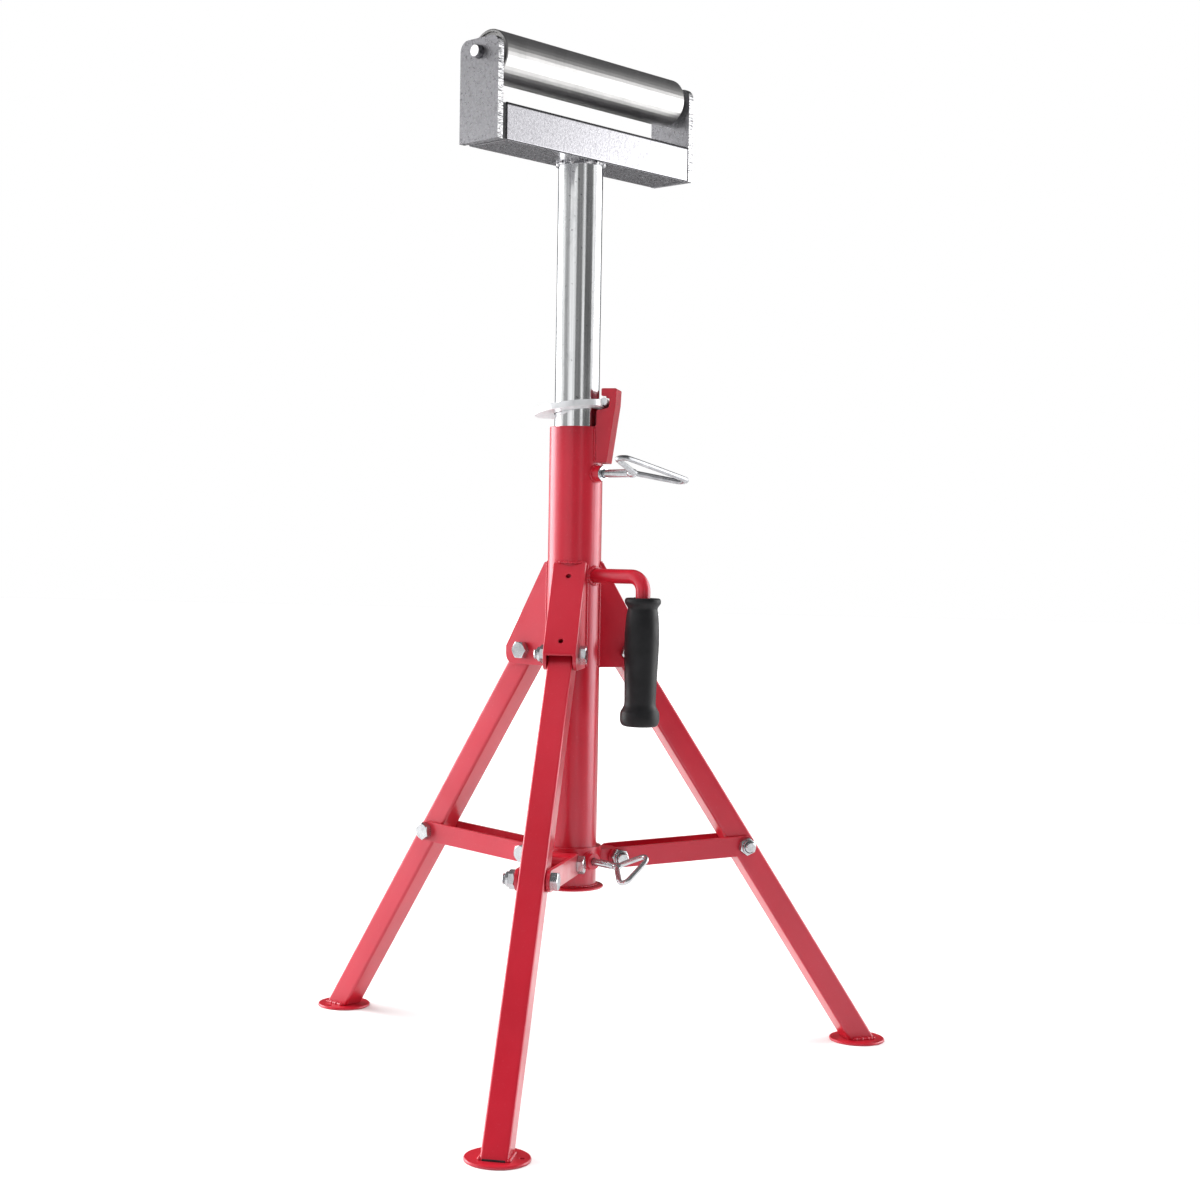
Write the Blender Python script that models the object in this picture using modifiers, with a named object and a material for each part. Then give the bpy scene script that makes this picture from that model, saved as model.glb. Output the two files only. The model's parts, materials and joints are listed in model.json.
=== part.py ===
"""Roller stand: a folding tripod with a telescopic post and a steel roller on top.

Sizes are in millimetres here and are turned into metres where a mesh is made.
The origin is on the floor under the middle of the column. One leg points along -Y.
A station is a turn about Z, in degrees from -Y toward +X. At station 0 a point
(tangent, radius, height) lies at (tangent, -radius, height).
"""

import math

import bmesh
import bpy
from mathutils import Matrix, Vector

MM = 0.001
ROUND = 44
INNER_ROUND = 24
SMALL_ROUND = 16
GAP = 0.3

# Column
TUBE_R = 30.0
TUBE_BORE_R = 26.0
TUBE_BOTTOM = 201.7
TUBE_TOP = 716.5
FLANGE_R = 38.5
FLANGE_THICK = 3.0
POST_R = TUBE_BORE_R - 1.0
POST_BORE_R = POST_R - 3.0
POST_BOTTOM = 452.0

# Head and roller
HEAD_BOTTOM = 1009.6
HEAD_TURN = 58.2
HEAD_LENGTH = 327.0
HEAD_DEPTH = 56.7
HEAD_TOP = HEAD_BOTTOM + 108.4
END_PLATE = 8.0
END_PLATE_CORNER = 11.0
TROUGH_HEIGHT = 40.0
TROUGH_WALL = 4.0
ROLLER_R = 27.0
ROLLER_Z = HEAD_BOTTOM + 93.5
ROLLER_END_GAP = 7.0
ROLLER_LENGTH = HEAD_LENGTH - 2 * (END_PLATE + ROLLER_END_GAP)
ROLLER_WALL = 3.0
AXLE_R = 7.0
AXLE_PROUD = 7.6
END_CAP_THICK = 14.0
END_CAP_INSET = 1.5
BEARING_R = 17.5
BEARING_WIDTH = 11.0
INNER_RING_R = 10.5
RACE_WALL = 3.2
SHIELD = 1.0

# Legs
STATIONS = {"front": 0, "right": 120, "left": 240}
LEG_SIDE = 28.0
LEG_WALL = 2.0
LEG_CORNER = 3.0
HIP_R = 60.0
HIP_Z = 464.0
LEG_FOOT_R = 370.5
LEG_PAST_HIP = 12.0
FOOT_R = 32.5
FOOT_THICK = 3.0
FOOT_CENTRE_R = LEG_FOOT_R - 2.5
FOOT_HOLE_R = 2.5
FOOT_HOLE_T = 24.0

# Channels of the leg brackets and the braces
CHANNEL_WIDTH = 37.0
CHANNEL_PLATE = 4.0
BRACKET_TOP = HIP_Z + 100.8
BRACKET_BOTTOM = HIP_Z - 16.5
BRACKET_TOP_R = TUBE_R - 1.5
BRACKET_OUT_R = HIP_R + 25.4
BRACKET_KNEE_Z = HIP_Z + 3.8
BRACKET_WEB_END = HIP_Z + 2.0
BRACKET_CORNER = 11.0
WEB_HOLE_R = 2.75
WEB_HOLES_Z = (HIP_Z + 86.0, HIP_Z + 16.0)
BRACE_PIN_R = 210.0
BRACE_HALF = 11.5
BRACE_WEB_START = 14.0
BRACE_WEB_END = 90.0

# Sliding collar
COLLAR_BORE_R = TUBE_R + 0.5
COLLAR_R = COLLAR_BORE_R + 4.5
COLLAR_PIVOT_R = COLLAR_R + 17.6
COLLAR_BOTTOM = TUBE_BOTTOM + 22.3
COLLAR_TOP = COLLAR_BOTTOM + 22.0
COLLAR_PIVOT_Z = COLLAR_BOTTOM + 7.9
LUG_HALF = 14.0
LUG_EYE_R = 9.5

# M12 bolts
BOLT_R = 6.0
HEX_FLATS = 18.0
HEAD_THICK = 8.0
NUT_THICK = 10.0
THREAD_PROUD = 3.5

# Lock screws with wire loops. The loop is a rounded triangle: its apex is at radius apex, its far
# side is reach further out and two half widths long, and its plane is turned about the screw
# and rises outward.
POST_SCREW = dict(
    station=60, z=TUBE_TOP - 52.5, r=4.5, apex=84.0, reach=32.0, half=57.5, turn=-10.5, rise=7.0, end_r=7.0, wire=3.25
)
COLLAR_SCREW = dict(
    station=50, z=COLLAR_BOTTOM + 8.0, r=4.0, apex=84.0, reach=34.0, half=21.0, turn=37.0, rise=0.0, end_r=7.0, wire=3.1
)
BOSS_R = 9.0
POST_BOSS_OUT = 39.0
COLLAR_BOSS_OUT = 42.5

# Carry handle
HANDLE_STATION = 60
HANDLE_ROD_R = 8.0
HANDLE_Z = BRACKET_TOP - 14.3
HANDLE_R = 98.5
HANDLE_BEND = 16.0
GRIP_TOP = HANDLE_Z - 23.0
GRIP_LENGTH = 141.0
GRIP_BOTTOM = GRIP_TOP - GRIP_LENGTH
HANDLE_END_Z = GRIP_BOTTOM + 15.5
GRIP_R = 19.0
GRIP_WAIST_R = 15.8
GRIP_FOOT_R = 21.7

# Clutch ring and the bracket it hooks into
LATCH_STATION = 90
RING_HINGE_R = TUBE_R + 4.0
RING_HINGE_Z = TUBE_TOP + 26.5
RING_TILT = 6.2
RING_ROLL = 3.2
RING_DROP = 2.3
RING_THICK = 7.0
RING_HOLE_R = 26.4
RING_R = 48.0
RING_CORNER = 16.0
RING_PIN_R = 4.0
RING_PIN_HALF = 22.0
LATCH_TOP = TUBE_TOP + 42.3
LATCH_BOTTOM = TUBE_TOP - 40.2
LATCH_KINK_Z = TUBE_TOP + 25.2
LATCH_OUT_TOP = TUBE_R + 17.6
LATCH_OUT_KINK = TUBE_R + 16.8
LATCH_OUT_BOTTOM = TUBE_R + 7.5
LATCH_LIP_R = TUBE_R + 0.5
LATCH_SLOT_BACK = RING_HINGE_R + 5.6
LATCH_SLOT_TOP = RING_HINGE_Z + 7.2
LATCH_SLOT_FLOOR = RING_HINGE_Z - 6.0
LATCH_SLOT_MOUTH = RING_HINGE_Z - 8.6
LATCH_INNER_R = TUBE_R - 4.6
LATCH_SEAT = TUBE_TOP + 1.0

# Guide plug at the post's lower end
GUIDE_R = TUBE_BORE_R - GAP
GUIDE_FLANGE = 4.0
GUIDE_SPIGOT = 30.0
GUIDE_BORE_R = 10.0

# How far a cutter reaches past what it cuts
PAST = 10.0

for old in list(bpy.data.objects):
    bpy.data.objects.remove(old)

PARTS = bpy.data.collections.new("roller_stand")
CUTTERS = bpy.data.collections.new("cutters")
for group in (PARTS, CUTTERS):
    bpy.context.scene.collection.children.link(group)
CUTTERS.hide_render = True


def material(name, colour, metallic, roughness):
    made = bpy.data.materials.new(name)
    made.use_nodes = True
    shader = made.node_tree.nodes["Principled BSDF"]
    shader.inputs["Base Color"].default_value = (*colour, 1)
    shader.inputs["Metallic"].default_value = metallic
    shader.inputs["Roughness"].default_value = roughness
    return made


LOOKS = {
    "red_paint": ((0.50, 0.015, 0.03), 0.0, 0.4),
    "grey_paint": ((0.12, 0.115, 0.13), 0.0, 0.5),
    "zinc": ((0.75, 0.76, 0.78), 1.0, 0.3),
    "steel": ((0.55, 0.54, 0.52), 1.0, 0.35),
    "rubber": ((0.02, 0.02, 0.02), 0.0, 0.7),
    "nylon": ((0.75, 0.75, 0.70), 0.0, 0.5),
}


def place(tangent, radius, height):
    """A point at station 0, in metres."""
    return Vector((tangent, -radius, height)) * MM


def rounded(corners, steps=5):
    """The outline through (point, radius) corners, with each corner that has a radius made an arc."""
    points = []
    for index, (corner, radius) in enumerate(corners):
        corner = Vector(corner)
        if radius == 0:
            points.append(corner)
            continue
        back = (Vector(corners[index - 1][0]) - corner).normalized()
        ahead = (Vector(corners[(index + 1) % len(corners)][0]) - corner).normalized()
        half = back.angle(ahead) / 2
        centre = corner + (back + ahead).normalized() * radius / math.sin(half)
        first = corner + back * radius / math.tan(half) - centre
        last = corner + ahead * radius / math.tan(half) - centre
        sweep = math.pi - 2 * half
        for step in range(steps + 1):
            share = step / steps
            turned_point = first * math.sin((1 - share) * sweep) + last * math.sin(share * sweep)
            points.append(centre + turned_point / math.sin(sweep))
    return points


def circle(centre, radius, steps=SMALL_ROUND):
    angles = [2 * math.pi * step / steps for step in range(steps)]
    return [Vector(centre) + Vector((math.cos(a), math.sin(a))) * radius for a in angles]


def baked(obj):
    """The object's evaluated mesh in its own frame, as a bmesh. The object is removed."""
    bpy.context.view_layer.update()
    graph = bpy.context.evaluated_depsgraph_get()
    mesh = bpy.data.meshes.new_from_object(obj.evaluated_get(graph))
    bm = bmesh.new()
    bm.from_mesh(mesh)
    bmesh.ops.remove_doubles(bm, verts=bm.verts, dist=1e-6)
    bmesh.ops.recalc_face_normals(bm, faces=bm.faces)
    bpy.data.objects.remove(obj)
    bpy.data.meshes.remove(mesh)
    return bm


def helper(name, data):
    obj = bpy.data.objects.new(name, data)
    CUTTERS.objects.link(obj)
    return obj


def plate(outline, thickness, holes=()):
    """A flat plate in the XY plane, centred on it."""
    curve = bpy.data.curves.new("outline", "CURVE")
    curve.dimensions = "2D"
    curve.fill_mode = "BOTH"
    curve.extrude = thickness * MM / 2
    for ring in (outline, *holes):
        spline = curve.splines.new("POLY")
        spline.points.add(len(ring) - 1)
        for point, at in zip(spline.points, ring):
            point.co = (at[0] * MM, at[1] * MM, 0, 1)
        spline.use_cyclic_u = True
    return baked(helper("plate", curve))


def side_plate(outline, thickness, holes=()):
    """A plate whose outline is given as (radius, height), centred on tangent 0."""
    bm = plate(outline, thickness, holes)
    upright = Matrix(((0, 0, -1, 0), (-1, 0, 0, 0), (0, 1, 0, 0), (0, 0, 0, 1)))
    bmesh.ops.transform(bm, matrix=upright, verts=bm.verts)
    return bm


def wire(points, radius, cyclic=False, resolution=2):
    """A round bar along points given in metres."""
    curve = bpy.data.curves.new("wire", "CURVE")
    curve.dimensions = "3D"
    curve.bevel_depth = radius * MM
    curve.bevel_resolution = resolution
    curve.use_fill_caps = not cyclic
    spline = curve.splines.new("POLY")
    spline.points.add(len(points) - 1)
    for point, at in zip(spline.points, points):
        point.co = (*at, 1)
    spline.use_cyclic_u = cyclic
    return baked(helper("wire", curve))


def turned(profile, steps=ROUND):
    """A solid of revolution about Z from a closed (radius, height) profile."""
    mesh = bpy.data.meshes.new("profile")
    count = len(profile)
    edges = [(index, (index + 1) % count) for index in range(count)]
    mesh.from_pydata([(r * MM, 0, z * MM) for r, z in profile], edges, [])
    obj = helper("turned", mesh)
    screw = obj.modifiers.new("Screw", "SCREW")
    screw.steps = steps
    screw.render_steps = steps
    screw.use_merge_vertices = True
    screw.merge_threshold = 0.00001
    return baked(obj)


def box(size, centre):
    bm = bmesh.new()
    size = Matrix.Diagonal((size[0] * MM, size[1] * MM, size[2] * MM, 1))
    bmesh.ops.create_cube(bm, size=1, matrix=Matrix.Translation(Vector(centre) * MM) @ size)
    return bm


def bar(radius, start, end, segments=SMALL_ROUND):
    """A cylinder between two points given in metres. Six segments make a hexagon."""
    along = end - start
    turn = along.to_track_quat("Z", "Y").to_matrix().to_4x4()
    bm = bmesh.new()
    bmesh.ops.create_cone(
        bm,
        cap_ends=True,
        segments=segments,
        radius1=radius * MM,
        radius2=radius * MM,
        depth=along.length,
        matrix=Matrix.Translation((start + end) / 2) @ turn,
    )
    return bm


def ring_profile(inner, outer, bottom, top):
    return [(outer, top), (outer, bottom), (inner, bottom), (inner, top)]


def core(radius, bottom, top):
    """A round cutter about Z that reaches past both heights."""
    return turned(ring_profile(0, radius, bottom - PAST, top + PAST))


def piece(name, bm, look, at=(0, 0, 0), turn=0.0):
    """One named solid. Its mesh is in its own frame, whose origin is at a point in metres."""
    mesh = bpy.data.meshes.new(name)
    bm.to_mesh(mesh)
    bm.free()
    mesh.shade_smooth()
    mesh.set_sharp_from_angle(angle=math.radians(35))
    obj = bpy.data.objects.new(name, mesh)
    obj.location = Matrix.Rotation(math.radians(turn), 3, "Z") @ Vector(at)
    obj.rotation_euler.z = math.radians(turn)
    mesh.materials.append(material(name, *LOOKS[look]))
    PARTS.objects.link(obj)
    return obj


def boolean(obj, operation, *tools):
    """Cuts or joins tools, which are bmeshes in the object's own frame."""
    for index, bm in enumerate(tools):
        mesh = bpy.data.meshes.new("tool")
        bm.to_mesh(mesh)
        bm.free()
        tool = helper(f"{obj.name}_{operation.lower()}_{index}", mesh)
        tool.location = obj.location
        tool.rotation_euler = obj.rotation_euler
        tool.display_type = "WIRE"
        tool.hide_render = True
        modifier = obj.modifiers.new(operation.title(), "BOOLEAN")
        modifier.operation = operation
        modifier.solver = "EXACT"
        modifier.object = tool
    return obj


def repeated(pattern, name, look):
    """Three copies of a piece built at station 0, one at each leg."""
    at = pattern.location.copy()
    tools = [modifier.object for modifier in pattern.modifiers]
    bm = baked(pattern)
    for tool in tools:
        bpy.data.objects.remove(tool)
    for word, station in STATIONS.items():
        piece(f"{name}_{word}", bm.copy(), look, at, station)
    bm.free()


# Column


def column():
    tube = piece("outer_tube", turned(ring_profile(TUBE_BORE_R, TUBE_R, TUBE_BOTTOM, TUBE_TOP)), "red_paint")
    station = Matrix.Rotation(math.radians(POST_SCREW["station"]), 3, "Z")
    hole = bar(
        POST_SCREW["r"] + GAP,
        station @ place(0, POST_R / 2, POST_SCREW["z"]),
        station @ place(0, TUBE_R + PAST, POST_SCREW["z"]),
    )
    boolean(tube, "DIFFERENCE", hole)
    bottom = TUBE_BOTTOM - GAP - FLANGE_THICK
    edge = FLANGE_THICK / 3
    profile = [
        (FLANGE_R - edge, bottom + FLANGE_THICK),
        (FLANGE_R, bottom + FLANGE_THICK - edge),
        (FLANGE_R, bottom + edge),
        (FLANGE_R - edge, bottom),
        (TUBE_BORE_R, bottom),
        (TUBE_BORE_R, bottom + FLANGE_THICK),
    ]
    piece("base_flange", turned(profile), "red_paint")


def leg_bracket():
    """A channel with its web outward, which widens downward and carries the leg's hip bolt."""
    outline = rounded(
        [
            ((BRACKET_TOP_R, BRACKET_TOP), 0),
            ((BRACKET_OUT_R, BRACKET_KNEE_Z), 0),
            ((BRACKET_OUT_R, BRACKET_BOTTOM), BRACKET_CORNER),
            ((TUBE_R / 2, BRACKET_BOTTOM), 0),
            ((TUBE_R / 2, BRACKET_TOP), 0),
        ]
    )
    run = Vector((BRACKET_OUT_R - BRACKET_TOP_R, BRACKET_KNEE_Z - BRACKET_TOP)).normalized()
    inward = Vector((run.y, -run.x))
    knee = Vector((BRACKET_OUT_R, BRACKET_KNEE_Z))
    web_low = knee + inward * CHANNEL_PLATE + run * (BRACKET_WEB_END - knee.y) / run.y
    web_high = web_low - run * (BRACKET_TOP - BRACKET_BOTTOM) * 2
    inside = [
        web_high,
        web_low,
        (BRACKET_OUT_R * 2, web_low.y),
        (BRACKET_OUT_R * 2, BRACKET_BOTTOM - PAST),
        (web_high.x, BRACKET_BOTTOM - PAST),
    ]
    obj = piece("pattern", side_plate(outline, CHANNEL_WIDTH), "red_paint")
    holes = []
    for z in WEB_HOLES_Z:
        middle = knee + run * (z - knee.y) / run.y
        start = middle + inward * CHANNEL_PLATE * 2
        end = middle - inward * CHANNEL_PLATE
        holes.append(bar(WEB_HOLE_R, place(0, *start), place(0, *end)))
    boolean(
        obj,
        "DIFFERENCE",
        side_plate(inside, CHANNEL_WIDTH - 2 * CHANNEL_PLATE),
        core(TUBE_R + GAP, BRACKET_BOTTOM, BRACKET_TOP),
        bar(BOLT_R + GAP, place(-CHANNEL_WIDTH, HIP_R, HIP_Z), place(CHANNEL_WIDTH, HIP_R, HIP_Z)),
        *holes,
    )
    repeated(obj, "leg_bracket", "red_paint")


def hexagon(start, end):
    return bar(HEX_FLATS / math.sqrt(3), start, end, 6)


def bolt(radius, height):
    """A through bolt with its head on the + side. Its origin is on its own axis."""
    face = CHANNEL_WIDTH / 2 + GAP
    at = place(0, radius, height)
    obj = piece("pattern", hexagon(place(face, 0, 0), place(face + HEAD_THICK, 0, 0)), "zinc", at)
    tail = face + NUT_THICK + THREAD_PROUD
    return boolean(obj, "UNION", bar(BOLT_R, place(-tail, 0, 0), place(face + HEAD_THICK / 2, 0, 0)))


def nut(radius, height):
    face = -CHANNEL_WIDTH / 2 - GAP
    at = place(0, radius, height)
    obj = piece("pattern", hexagon(place(face - NUT_THICK, 0, 0), place(face, 0, 0)), "zinc", at)
    return boolean(obj, "DIFFERENCE", bar(BOLT_R + GAP, place(-CHANNEL_WIDTH, 0, 0), place(0, 0, 0)))


def handle():
    """The bent carry rod and its rubber grip."""
    points = [
        ((0, -TUBE_R - GAP, HANDLE_Z), 0),
        ((0, -HANDLE_R, HANDLE_Z), HANDLE_BEND),
        ((0, -HANDLE_R, HANDLE_END_Z), 0),
    ]
    path = [point * MM for point in rounded(points, 8)]
    piece("carry_handle", wire(path, HANDLE_ROD_R, resolution=5), "red_paint", turn=HANDLE_STATION)
    bore = HANDLE_ROD_R + GAP
    floor = HANDLE_END_Z - GAP
    profile = [
        (bore, GRIP_TOP),
        (GRIP_R - 2, GRIP_TOP),
        (GRIP_R + 0.5, GRIP_TOP - 2.5),
        (GRIP_R + 0.5, GRIP_TOP - 7),
        (GRIP_R - 2, GRIP_TOP - 10),
        (GRIP_WAIST_R, GRIP_TOP - 14),
        (GRIP_R - 1.5, GRIP_TOP - GRIP_LENGTH * 0.17),
        (GRIP_R, GRIP_TOP - GRIP_LENGTH * 0.30),
        (GRIP_R - 1.2, GRIP_TOP - GRIP_LENGTH * 0.55),
        (GRIP_R - 2, GRIP_TOP - GRIP_LENGTH * 0.77),
        (GRIP_R - 1, GRIP_BOTTOM + 22),
        (GRIP_FOOT_R, GRIP_BOTTOM + 15),
        (GRIP_FOOT_R, GRIP_BOTTOM + 6),
        (GRIP_FOOT_R - 2, GRIP_BOTTOM + 1.5),
        (GRIP_FOOT_R - 7, GRIP_BOTTOM),
        (0, GRIP_BOTTOM),
        (0, floor),
        (bore, floor),
    ]
    profile = [(r, z - GRIP_BOTTOM) for r, z in profile]
    piece("handle_grip", turned(profile, INNER_ROUND), "rubber", place(0, HANDLE_R, GRIP_BOTTOM), HANDLE_STATION)


# Post, head and roller


def post():
    guide_top = POST_BOTTOM - GAP
    spigot_r = POST_BORE_R - GAP
    profile = [
        (GUIDE_BORE_R, guide_top + GUIDE_SPIGOT),
        (spigot_r - 1, guide_top + GUIDE_SPIGOT),
        (spigot_r, guide_top + GUIDE_SPIGOT - 1),
        (spigot_r, guide_top),
        (GUIDE_R, guide_top),
        (GUIDE_R, guide_top - GUIDE_FLANGE),
        (GUIDE_BORE_R, guide_top - GUIDE_FLANGE),
    ]
    piece("post_guide", turned(profile, INNER_ROUND), "nylon")
    piece("inner_post", turned(ring_profile(POST_BORE_R, POST_R, POST_BOTTOM, HEAD_BOTTOM - GAP)), "zinc")


def head():
    """The trough, the end plates and the axle. The head's own frame has X along the roller."""
    inner_length = HEAD_LENGTH - 2 * END_PLATE - 2 * GAP
    wall_middle = HEAD_BOTTOM + TROUGH_HEIGHT / 2
    bm = box((inner_length, HEAD_DEPTH, TROUGH_HEIGHT), (0, 0, wall_middle))
    trough = piece("head_trough", bm, "grey_paint", turn=HEAD_TURN)
    inside = (inner_length * 2, HEAD_DEPTH - 2 * TROUGH_WALL, TROUGH_HEIGHT)
    boolean(trough, "DIFFERENCE", box(inside, (0, 0, wall_middle + TROUGH_WALL)))
    half = HEAD_DEPTH / 2
    outline = rounded(
        [
            ((-half, HEAD_BOTTOM), 0),
            ((half, HEAD_BOTTOM), 0),
            ((half, HEAD_TOP), END_PLATE_CORNER),
            ((-half, HEAD_TOP), END_PLATE_CORNER),
        ]
    )
    hole = circle((0, ROLLER_Z), AXLE_R + GAP)
    upright = Matrix(((0, 0, 1, 0), (1, 0, 0, 0), (0, 1, 0, 0), (0, 0, 0, 1)))
    for word, side in (("near", -1), ("far", 1)):
        bm = plate(outline, END_PLATE, [hole])
        shift = Matrix.Translation((side * (HEAD_LENGTH - END_PLATE) / 2 * MM, 0, 0))
        bmesh.ops.transform(bm, matrix=shift @ upright, verts=bm.verts)
        piece(f"end_plate_{word}", bm, "grey_paint", turn=HEAD_TURN)
    half = (HEAD_LENGTH / 2 + AXLE_PROUD) * MM
    bm = bar(AXLE_R, Vector((-half, 0, 0)), Vector((half, 0, 0)))
    bmesh.ops.bevel(
        bm,
        geom=[edge for edge in bm.edges if abs(edge.verts[0].co.x - edge.verts[1].co.x) < 1e-6],
        offset=1 * MM,
        affect="EDGES",
        segments=1,
        clamp_overlap=True,
    )
    piece("roller_axle", bm, "steel", (0, 0, ROLLER_Z * MM), HEAD_TURN)


def on_axle(name, profile, look, side=1, steps=INNER_ROUND):
    """A turned piece on the roller's axis, from a (radius, distance along the axis) profile."""
    bm = turned(profile, steps)
    lie_down = Matrix.Rotation(side * math.pi / 2, 4, "Y")
    bmesh.ops.transform(bm, matrix=lie_down, verts=bm.verts)
    return piece(name, bm, look, (0, 0, ROLLER_Z * MM), HEAD_TURN)


def roller():
    """The roller tube runs on two shielded ball bearings held in its end caps."""
    half = ROLLER_LENGTH / 2
    bore = ROLLER_R - ROLLER_WALL
    edge = 1.0
    shell = [
        (bore, half),
        (ROLLER_R - edge, half),
        (ROLLER_R, half - edge),
        (ROLLER_R, edge - half),
        (ROLLER_R - edge, -half),
        (bore, -half),
    ]
    on_axle("roller_shell", shell, "steel", steps=ROUND)
    out = half - END_CAP_INSET
    seat = out - GAP - BEARING_WIDTH - 1
    cap = [
        (bore - GAP, out),
        (bore - GAP, out - END_CAP_THICK),
        (AXLE_R + 2, out - END_CAP_THICK),
        (AXLE_R + 2, seat - GAP),
        (BEARING_R + GAP, seat - GAP),
        (BEARING_R + GAP, out),
    ]
    top = seat + BEARING_WIDTH
    race_in = BEARING_R - RACE_WALL
    shield_in = INNER_RING_R + GAP
    outer = [
        (BEARING_R, top),
        (BEARING_R, seat),
        (shield_in, seat),
        (shield_in, seat + SHIELD),
        (race_in, seat + SHIELD),
        (race_in, top - SHIELD),
        (shield_in, top - SHIELD),
        (shield_in, top),
    ]
    inner = ring_profile(AXLE_R + GAP, INNER_RING_R, seat, top)
    for word, side in (("near", -1), ("far", 1)):
        on_axle(f"roller_end_cap_{word}", cap, "zinc", side)
        on_axle(f"bearing_outer_{word}", outer, "steel", side)
        on_axle(f"bearing_inner_{word}", inner, "steel", side)


# Clutch ring and latch


def latch_bracket():
    """A channel whose two cheeks are hooks: the clutch ring's pin sits in their slots."""
    outline = rounded(
        [
            ((LATCH_LIP_R, LATCH_TOP), 1.5),
            ((LATCH_OUT_TOP, LATCH_TOP), 1.5),
            ((LATCH_OUT_KINK, LATCH_KINK_Z), 0),
            ((LATCH_OUT_BOTTOM, LATCH_BOTTOM), 1),
            ((TUBE_R / 2, LATCH_BOTTOM), 0),
            ((TUBE_R / 2, LATCH_SEAT), 0),
            ((LATCH_INNER_R, LATCH_SEAT), 0),
            ((LATCH_INNER_R, LATCH_SLOT_MOUTH), 1.5),
            ((LATCH_SLOT_BACK, LATCH_SLOT_FLOOR), 4.5),
            ((LATCH_SLOT_BACK, LATCH_SLOT_TOP), 4.5),
            ((LATCH_LIP_R, LATCH_SLOT_TOP), 1.5),
        ]
    )
    inside = [
        (LATCH_OUT_TOP - CHANNEL_PLATE, LATCH_TOP + PAST),
        (LATCH_OUT_KINK - CHANNEL_PLATE, LATCH_KINK_Z),
        (LATCH_OUT_BOTTOM - CHANNEL_PLATE, LATCH_BOTTOM),
        (LATCH_OUT_BOTTOM - CHANNEL_PLATE, LATCH_BOTTOM - PAST),
        (0, LATCH_BOTTOM - PAST),
        (0, LATCH_TOP + PAST),
    ]
    obj = piece("latch_bracket", side_plate(outline, CHANNEL_WIDTH), "red_paint", turn=LATCH_STATION)
    boolean(
        obj,
        "DIFFERENCE",
        side_plate(inside, CHANNEL_WIDTH - 2 * CHANNEL_PLATE),
        turned(ring_profile(0, TUBE_R + GAP, LATCH_BOTTOM - PAST, LATCH_SEAT)),
    )


def clutch_ring():
    """The tilted ring that bites the post. Its origin is on the pin that hangs in the latch."""
    # The ring is drawn level, with its pin along Y, and is then tilted with its free side down.
    # The pin has play in its slots, so the ring leans a little to one side as well. The pin is
    # welded in the upper half of the ring's thickness.
    centre = Vector((-RING_HINGE_R / math.cos(math.radians(RING_TILT)), 0))
    chord = -RING_PIN_R * 0.6
    corner = Vector((chord, math.sqrt(RING_R**2 - (chord - centre.x) ** 2)))
    start = math.degrees(math.atan2(corner.y, corner.x - centre.x))
    arc = [math.radians(angle) for angle in range(round(start) + 24, 360 - round(start) - 23, 8)]
    rim = [(centre + Vector((math.cos(a), math.sin(a))) * RING_R, 0) for a in arc]
    corners = rim + [((chord, -corner.y), RING_CORNER), ((chord, corner.y), RING_CORNER)]
    bm = plate(rounded(corners), RING_THICK, [circle(centre, RING_HOLE_R, ROUND)])
    lean = Matrix.Rotation(math.radians(-RING_ROLL), 4, "X")
    tilt = Matrix.Rotation(math.radians(-RING_TILT), 4, "Y")
    drop = Matrix.Translation((0, 0, -RING_DROP * MM))
    bmesh.ops.transform(bm, matrix=lean @ tilt @ drop, verts=bm.verts)
    at = Vector((RING_HINGE_R, 0, RING_HINGE_Z)) * MM
    obj = piece("clutch_ring", bm, "zinc", at)
    pin = lean @ Vector((0, RING_PIN_HALF * MM, 0))
    boolean(obj, "UNION", bar(RING_PIN_R, -pin, pin))


# Lock screws


def boss(name, screw, start, end, look):
    at = place(0, 0, screw["z"])
    bm = bar(BOSS_R, place(0, start, 0), place(0, end, 0), 32)
    obj = piece(name, bm, look, at, screw["station"])
    boolean(obj, "DIFFERENCE", bar(screw["r"] + GAP, place(0, 0, 0), place(0, end + PAST, 0)))
    return obj


def lock_screw(name, screw, tip):
    """A screw with a closed wire loop as its handle. Both have their origin on the screw's axis."""
    at = place(0, 0, screw["z"])
    station = screw["station"]
    wire_r = screw["wire"]
    end = screw["apex"] - wire_r - GAP
    piece(f"{name}_screw", bar(screw["r"], place(0, tip, 0), place(0, end, 0)), "zinc", at, station)
    turn = math.radians(screw["turn"])
    lateral = Vector((math.cos(turn), 0, math.sin(turn)))
    # A far corner stands outside the loop's end by what its rounding takes away.
    end_r = screw["end_r"]
    wide = screw["half"]
    for _ in range(30):
        wide = screw["half"] + end_r * (1 / math.tan(math.atan(screw["reach"] / wide) / 2) - 1)
    rise = math.radians(screw["rise"])
    outward = Vector((0, -math.cos(rise), math.sin(rise)))
    apex = Vector((0, -screw["apex"], 0))
    far = apex + outward * screw["reach"]
    points = rounded([(apex, end_r), (far - lateral * wide, end_r), (far + lateral * wide, end_r)], 6)
    # Rounding the apex moves it outward, and this brings it back.
    shift = min((point - apex).length for point in points)
    loop = [(point - outward * shift) * MM for point in points]
    piece(f"{name}_loop", wire(loop, wire_r, cyclic=True, resolution=3), "zinc", at, station)


# Collar, braces and legs


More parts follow.
